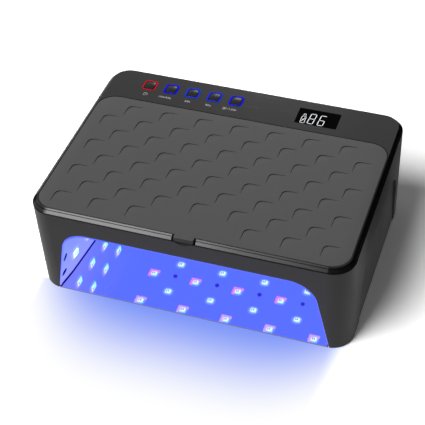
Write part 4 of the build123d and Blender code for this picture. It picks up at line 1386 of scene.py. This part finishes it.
@dataclass
class Display(Print):
    """What the dark window shows: a battery sign and two seven-bar digits."""

    face: float = TOP - 0.05
    digit: Pair = (4.8, 13.8)
    stroke: float = 0.6
    slant: float = math.tan(math.radians(4.0))
    digit_centres: tuple[Pair, ...] = ((56.9, 75.2), (65.8, 75.1))
    shown: tuple[str, ...] = ("abcdefg", "acdefg")
    battery: Pair = (49.6, 72.4)
    battery_size: Pair = (3.7, 9.4)
    line: float = 0.42
    nub: Pair = (1.7, 2.6)
    nub_rise: Pair = (2.4, 3.6)
    nub_width: float = 1.3
    nub_round: float = 0.3
    flash: float = 3.4
    flash_step: Pair = (0.5, 1.3)
    flash_slant: float = 0.4
    flash_width: float = 2.4

    def build(self) -> list[bpy.types.Object]:
        """Model the digits and the battery sign, and return the two pieces."""
        return [self._digits(), self._battery_sign()]

    def _bars(self) -> dict[str, tuple[Pair, Pair]]:
        """The seven bars of a digit.

        Returns:
            Each bar's size and centre, by its usual letter.
        """
        width, height = self.digit
        flat = (width - 1.1 * self.stroke, self.stroke)
        tall = (self.stroke, height / 2 - 1.1 * self.stroke)
        side, up = width / 2, height / 2
        return {"a": (flat, (0, up)), "g": (flat, (0, 0)), "d": (flat, (0, -up)),
                "b": (tall, (side, up / 2)), "c": (tall, (side, -up / 2)),
                "e": (tall, (-side, -up / 2)), "f": (tall, (-side, up / 2))}

    def _digits(self) -> bpy.types.Object:
        """Both digits, leaning a little to the right.

        Returns:
            The digits as one piece.
        """
        work = Workpiece()
        bars = self._bars()
        for letters, (x, y) in zip(self.shown, self.digit_centres):
            for letter in letters:
                size, (over, up) = bars[letter]
                made = self.bar(work, size, self.stroke * self.round_ends, (x + over, y + up), 3)
                for vert in made:
                    vert.co.x += (vert.co.y - y) * self.slant
        return work.finish("display_digits", [Palette.DIGIT], "housing", "window_acrylic")

    def _battery_sign(self) -> bpy.types.Object:
        """An upright battery in outline, with its nub and a charging flash.

        Returns:
            The sign as one piece.
        """
        work = Workpiece()
        x, y = self.battery
        width, height = self.battery_size
        line = self.line
        ends = line * self.round_ends
        nub_ends = line * self.nub_round
        for side in (-0.5, 0.5):
            self.bar(work, (line, height - line), ends, (x + side * width, y))
            self.bar(work, (width - line, line), ends, (x, y + side * height))
            self.bar(work, (line, self.nub[1]), nub_ends,
                     (x + side * self.nub[0], y + height / 2 + self.nub_rise[0]))
        self.bar(work, (self.nub_width, line), nub_ends, (x, y + height / 2 + self.nub_rise[1]))
        for side in (1, -1):
            over, up = (side * part for part in self.flash_step)
            for vert in self.bar(work, (line, self.flash), self.sharp, (x + over, y + up), 1):
                vert.co.x += (vert.co.y - y - up) * self.flash_slant
        self.bar(work, (self.flash_width, line), self.sharp, (x, y), 1)
        return work.finish("display_battery_sign", [Palette.DIGIT], "housing", "window_acrylic")


@dataclass
class ButtonLabels(Print):
    """Printed signs in front of the buttons: a power sign and plain timer numbers."""

    y: float = 68.0
    line: float = 0.5
    power_x: float = -94.7
    power_radius: float = 1.75
    power_gap: float = math.radians(38)
    power_steps: int = 10
    power_step: float = 1.25
    power_stroke: float = 2.2
    power_rise: float = 0.75
    lamp_x: float = -20.6
    lamp_dot: float = 1.9
    lamp_round: float = 0.9
    lamp_rays: int = 8
    lamp_ray: Pair = (0.35, 0.75)
    lamp_reach: float = 1.85
    words: tuple[tuple[str, float], ...] = (("10s/30s", -76.2), ("60s", -55.0), ("90s", -35.7),
                                            ("/120s", -13.9))
    letter_height: float = 3.3
    letter_weight: float = 0.03
    letter_spacing: float = 1.2

    def build(self) -> bpy.types.Object:
        """Print every label.

        Returns:
            The labels as one piece.
        """
        work = Workpiece()
        self._power_sign(work)
        self._lamp_sign(work)
        for text, x in self.words:
            work.stamp(self._letters(text), Matrix.Translation((x, self.y, self.face)))
        return work.finish("button_labels", [Palette.INK], "housing", "cover_plastic")

    def _power_sign(self, work: Workpiece) -> None:
        """An open ring with an upright stroke in its gap.

        Args:
            work: the mesh in the making.
        """
        middle = Matrix.Translation((self.power_x, self.y, 0))
        round_part = 2 * (math.pi - self.power_gap)
        for step in range(self.power_steps):
            turn = self.power_gap + round_part * (step + 0.5) / self.power_steps
            made = self.bar(work, (self.power_step, self.line), self.sharp,
                            (0.0, self.power_radius), 1)
            bmesh.ops.transform(work.bm, matrix=middle @ Matrix.Rotation(-turn, 4, "Z"),
                                verts=made)
        self.bar(work, (self.line, self.power_stroke), self.sharp,
                 (self.power_x, self.y + self.power_radius * self.power_rise), 1)

    def _lamp_sign(self, work: Workpiece) -> None:
        """A round dot with short rays.

        Args:
            work: the mesh in the making.
        """
        middle = Matrix.Translation((self.lamp_x, self.y, 0))
        self.bar(work, (self.lamp_dot, self.lamp_dot), self.lamp_round, (self.lamp_x, self.y), 4)
        for step in range(self.lamp_rays):
            turn = Matrix.Rotation(2 * math.pi * step / self.lamp_rays, 4, "Z")
            made = self.bar(work, self.lamp_ray, self.sharp, (0.0, self.lamp_reach), 1)
            bmesh.ops.transform(work.bm, matrix=middle @ turn, verts=made)

    def _letters(self, text: str) -> bpy.types.Mesh:
        """Characters as a flat raised mesh, centred on the origin.

        Args:
            text: what to print.

        Returns:
            The mesh, in millimetres.
        """
        curve = bpy.data.curves.new("label", "FONT")
        curve.body = text
        curve.size = self.letter_height
        curve.align_x = "CENTER"
        curve.align_y = "CENTER"
        curve.extrude = self.ink / 2
        curve.offset = self.letter_weight
        curve.space_character = self.letter_spacing
        holder = add_object("label", curve)
        bpy.context.view_layer.update()
        mesh = bpy.data.meshes.new_from_object(holder)
        bpy.data.objects.remove(holder)
        mesh.transform(Matrix.Translation((0, 0, self.ink / 2)))
        return mesh


@dataclass
class CadDress:
    """Finishes for the CAD nodes that are shown as they are."""

    finishes: tuple[tuple[Palette, tuple[str, ...]], ...] = (
        (Palette.CASE, ("outer_shell",)),
        (Palette.COVER, ("top_cover",)),
        (Palette.CARRIER, ("hand_rest_carrier",)),
        (Palette.PLATE, ("base_plate",)),
        (Palette.FOOT, ("base_feet",)),
        (Palette.NICKEL, ("base_magnets",)),
        (Palette.LINER, ("inner_reflector",)),
        (Palette.LED_MASK, ("ceiling_led_board", "left_led_board", "right_led_board",
                            "rear_led_board")),
        (Palette.LINER_BOLT, ("reflector_screws",)),
        (Palette.BOLT, ("case_screws", "control_board_screws", "battery_screws",
                        "main_board_screws")),
        (Palette.INNER_BLACK, ("button_guide", "tact_switches", "display_module",
                               "driver_components", "charging_socket", "lead_socket")),
        (Palette.GREEN_MASK, ("control_board", "main_board")),
        (Palette.WINDOW, ("display_window",)),
        (Palette.CELL, ("battery_cells",)),
        (Palette.TRAY, ("battery_tray",)),
        (Palette.BRASS, ("socket_pin",)),
        (Palette.LEAD, ("wiring",)),
        (Palette.BUTTON, ("power_button", "timer_button_1", "timer_button_2", "timer_button_3",
                          "timer_button_4")),
    )
    rings: tuple[tuple[str, Colour], ...] = (
        ("power_ring", (0.55, 0.003, 0.012)),
        ("timer_ring_1", (0.001, 0.002, 0.9)),
        ("timer_ring_2", (0.001, 0.03, 0.9)),
        ("timer_ring_3", (0.001, 0.022, 0.9)),
        ("timer_ring_4", (0.001, 0.002, 0.9)),
    )

    def dress(self, nodes: dict[str, bpy.types.Object]) -> None:
        """Give every named node its finish.

        Args:
            nodes: the frame's nodes by name.
        """
        wanted = {name: finish.material() for finish, names in self.finishes for name in names}
        wanted |= {ring: RingLight(f"{ring}_lit", ring, light).make()
                   for ring, light in self.rings}
        for name, material in wanted.items():
            mesh = nodes[name].data
            mesh.materials.clear()
            mesh.materials.append(material)
            log.info("node %s in %s", name, material.name)


@dataclass
class Studio:
    """Pale floor, soft lights, white surroundings and the camera."""

    camera_at: Point = (0.262326, -0.783216, 0.775699)
    right: Point = (0.94983626, 0.31212004, -0.01980293)
    up: Point = (-0.19401992, 0.63773127, 0.74542276)
    back: Point = (0.24529033, -0.70418741, 0.6662978)
    lens: float = 108.208
    sensor: float = 36.0
    ambient: float = 0.1
    floor_half: float = 4000.0
    sun_left: float = math.radians(42.0)
    sun_height: float = math.radians(42.0)
    sun_angle: float = math.radians(48.0)
    sun_level: float = 1.33

    def build(self) -> None:
        """Set up everything that isn't the lamp."""
        self._camera()
        self._world()
        self._floor()
        self._sun()
        self._softbox("front_softbox", (-0.46, -0.78, 0.78), (0.42, 0.3), 6.2)
        self._softbox("fill_softbox", (-0.15, -0.76, 0.84), (0.2, 0.3), 0.8)
        self._softbox("rear_softbox", (-0.28, 1.2, 0.66), (0.2, 0.14), 0.9)
        self._flag("flag_right", (0.75, -0.05, 0.65), (2.1, 1.3))
        self._flag("flag_left", (-0.3, 0.1, 0.05), (0.54, 0.1))
        self._flag("flag_beside", (0.158, 0.245, 0.07), (0.53, 0.1))
        self._flag("flag_front", (0.35, -0.95, 0.85), (0.86, 0.8), math.pi / 2)

    def _camera(self) -> None:
        """The photograph's camera."""
        data = bpy.data.cameras.new("camera")
        data.lens = self.lens
        data.sensor_width = self.sensor
        data.sensor_fit = "HORIZONTAL"
        camera = add_object("camera", data)
        camera.matrix_world = placed(self.camera_at, self.right, self.up, self.back)
        bpy.context.scene.camera = camera

    def _world(self) -> None:
        """White surroundings, with a weaker light from all round."""
        world = bpy.data.worlds.new("surroundings")
        bpy.context.scene.world = world
        world.use_nodes = True
        bench = Bench(world.node_tree)
        strength = self.ambient + bench.seen() * (1 - self.ambient)
        light = bench.node("ShaderNodeBackground", inputs={"Color": WHITE, "Strength": strength})
        bench.close(light, "ShaderNodeOutputWorld")

    def _floor(self) -> None:
        """The floor that the lamp stands on."""
        work = Workpiece()
        bmesh.ops.create_grid(work.bm, x_segments=8, y_segments=8, size=self.floor_half)
        mesh = work.to_mesh("floor")
        mesh.transform(Matrix.Scale(MM, 4))
        mesh.materials.append(WhiteFloor("floor_white").make())
        add_object("floor", mesh)

    def _sun(self) -> None:
        """One broad soft light from the front left, which gives the soft shadow."""
        data = bpy.data.lights.new("sun", "SUN")
        data.energy = self.sun_level * math.pi
        data.angle = self.sun_angle
        lamp = add_object("sun", data)
        level = math.cos(self.sun_height)
        towards = Vector((-math.sin(self.sun_left) * level, -math.cos(self.sun_left) * level,
                          math.sin(self.sun_height)))
        lamp.matrix_world = towards.to_track_quat("Z", "Y").to_matrix().to_4x4()
        lamp.visible_glossy = False

    def _softbox(self, name: str, place: Point, size: Pair, power: float) -> None:
        """A light that only gloss sees, for the glints on bevels and caps.

        Args:
            name: the light's name.
            place: its middle.
            size: its width and height.
            power: its power in watts.
        """
        data = bpy.data.lights.new(name, "AREA")
        data.shape = "RECTANGLE"
        data.size, data.size_y = size
        data.energy = power
        lamp = add_object(name, data)
        aim = (Vector((0, 0, TOP * MM)) - Vector(place)).to_track_quat("-Z", "Y")
        lamp.matrix_world = Matrix.Translation(place) @ aim.to_matrix().to_4x4()
        lamp.visible_camera = False
        lamp.visible_diffuse = False

    def _flag(self, name: str, place: Point, size: Pair, turn: float = 0.0) -> None:
        """A black card along Y that only gloss sees, for the gloss to show something dark.

        Args:
            name: the card's name.
            place: its middle.
            size: its length and height.
            turn: how far it is turned from Y, in radians.
        """
        work = Workpiece()
        work.sheet(size, (0.0, 0.0), 0.0)
        mesh = work.to_mesh(name)
        upright = placed((0, 0, 0), (0, 1, 0), (0, 0, 1), (1, 0, 0))
        mesh.transform(Matrix.Translation(place) @ Matrix.Rotation(turn, 4, "Z") @ upright)
        mesh.materials.append(BlackCard(name).make())
        card = add_object(name, mesh)
        card.visible_camera = False
        card.visible_diffuse = False
        card.visible_shadow = False


def main() -> None:
    """Load the frame, dress it, add the modelled pieces and set up the studio."""
    logging.basicConfig(level=logging.INFO, format="%(message)s")
    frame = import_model()
    bpy.context.scene.view_settings.view_transform = "Standard"
    Studio().build()
    CadDress().dress(frame["nodes"])
    HandRest().build()
    LampBeads().build()
    HandSensors().build()
    Display().build()
    ButtonLabels().build()


if __name__ == "__main__":
    main()
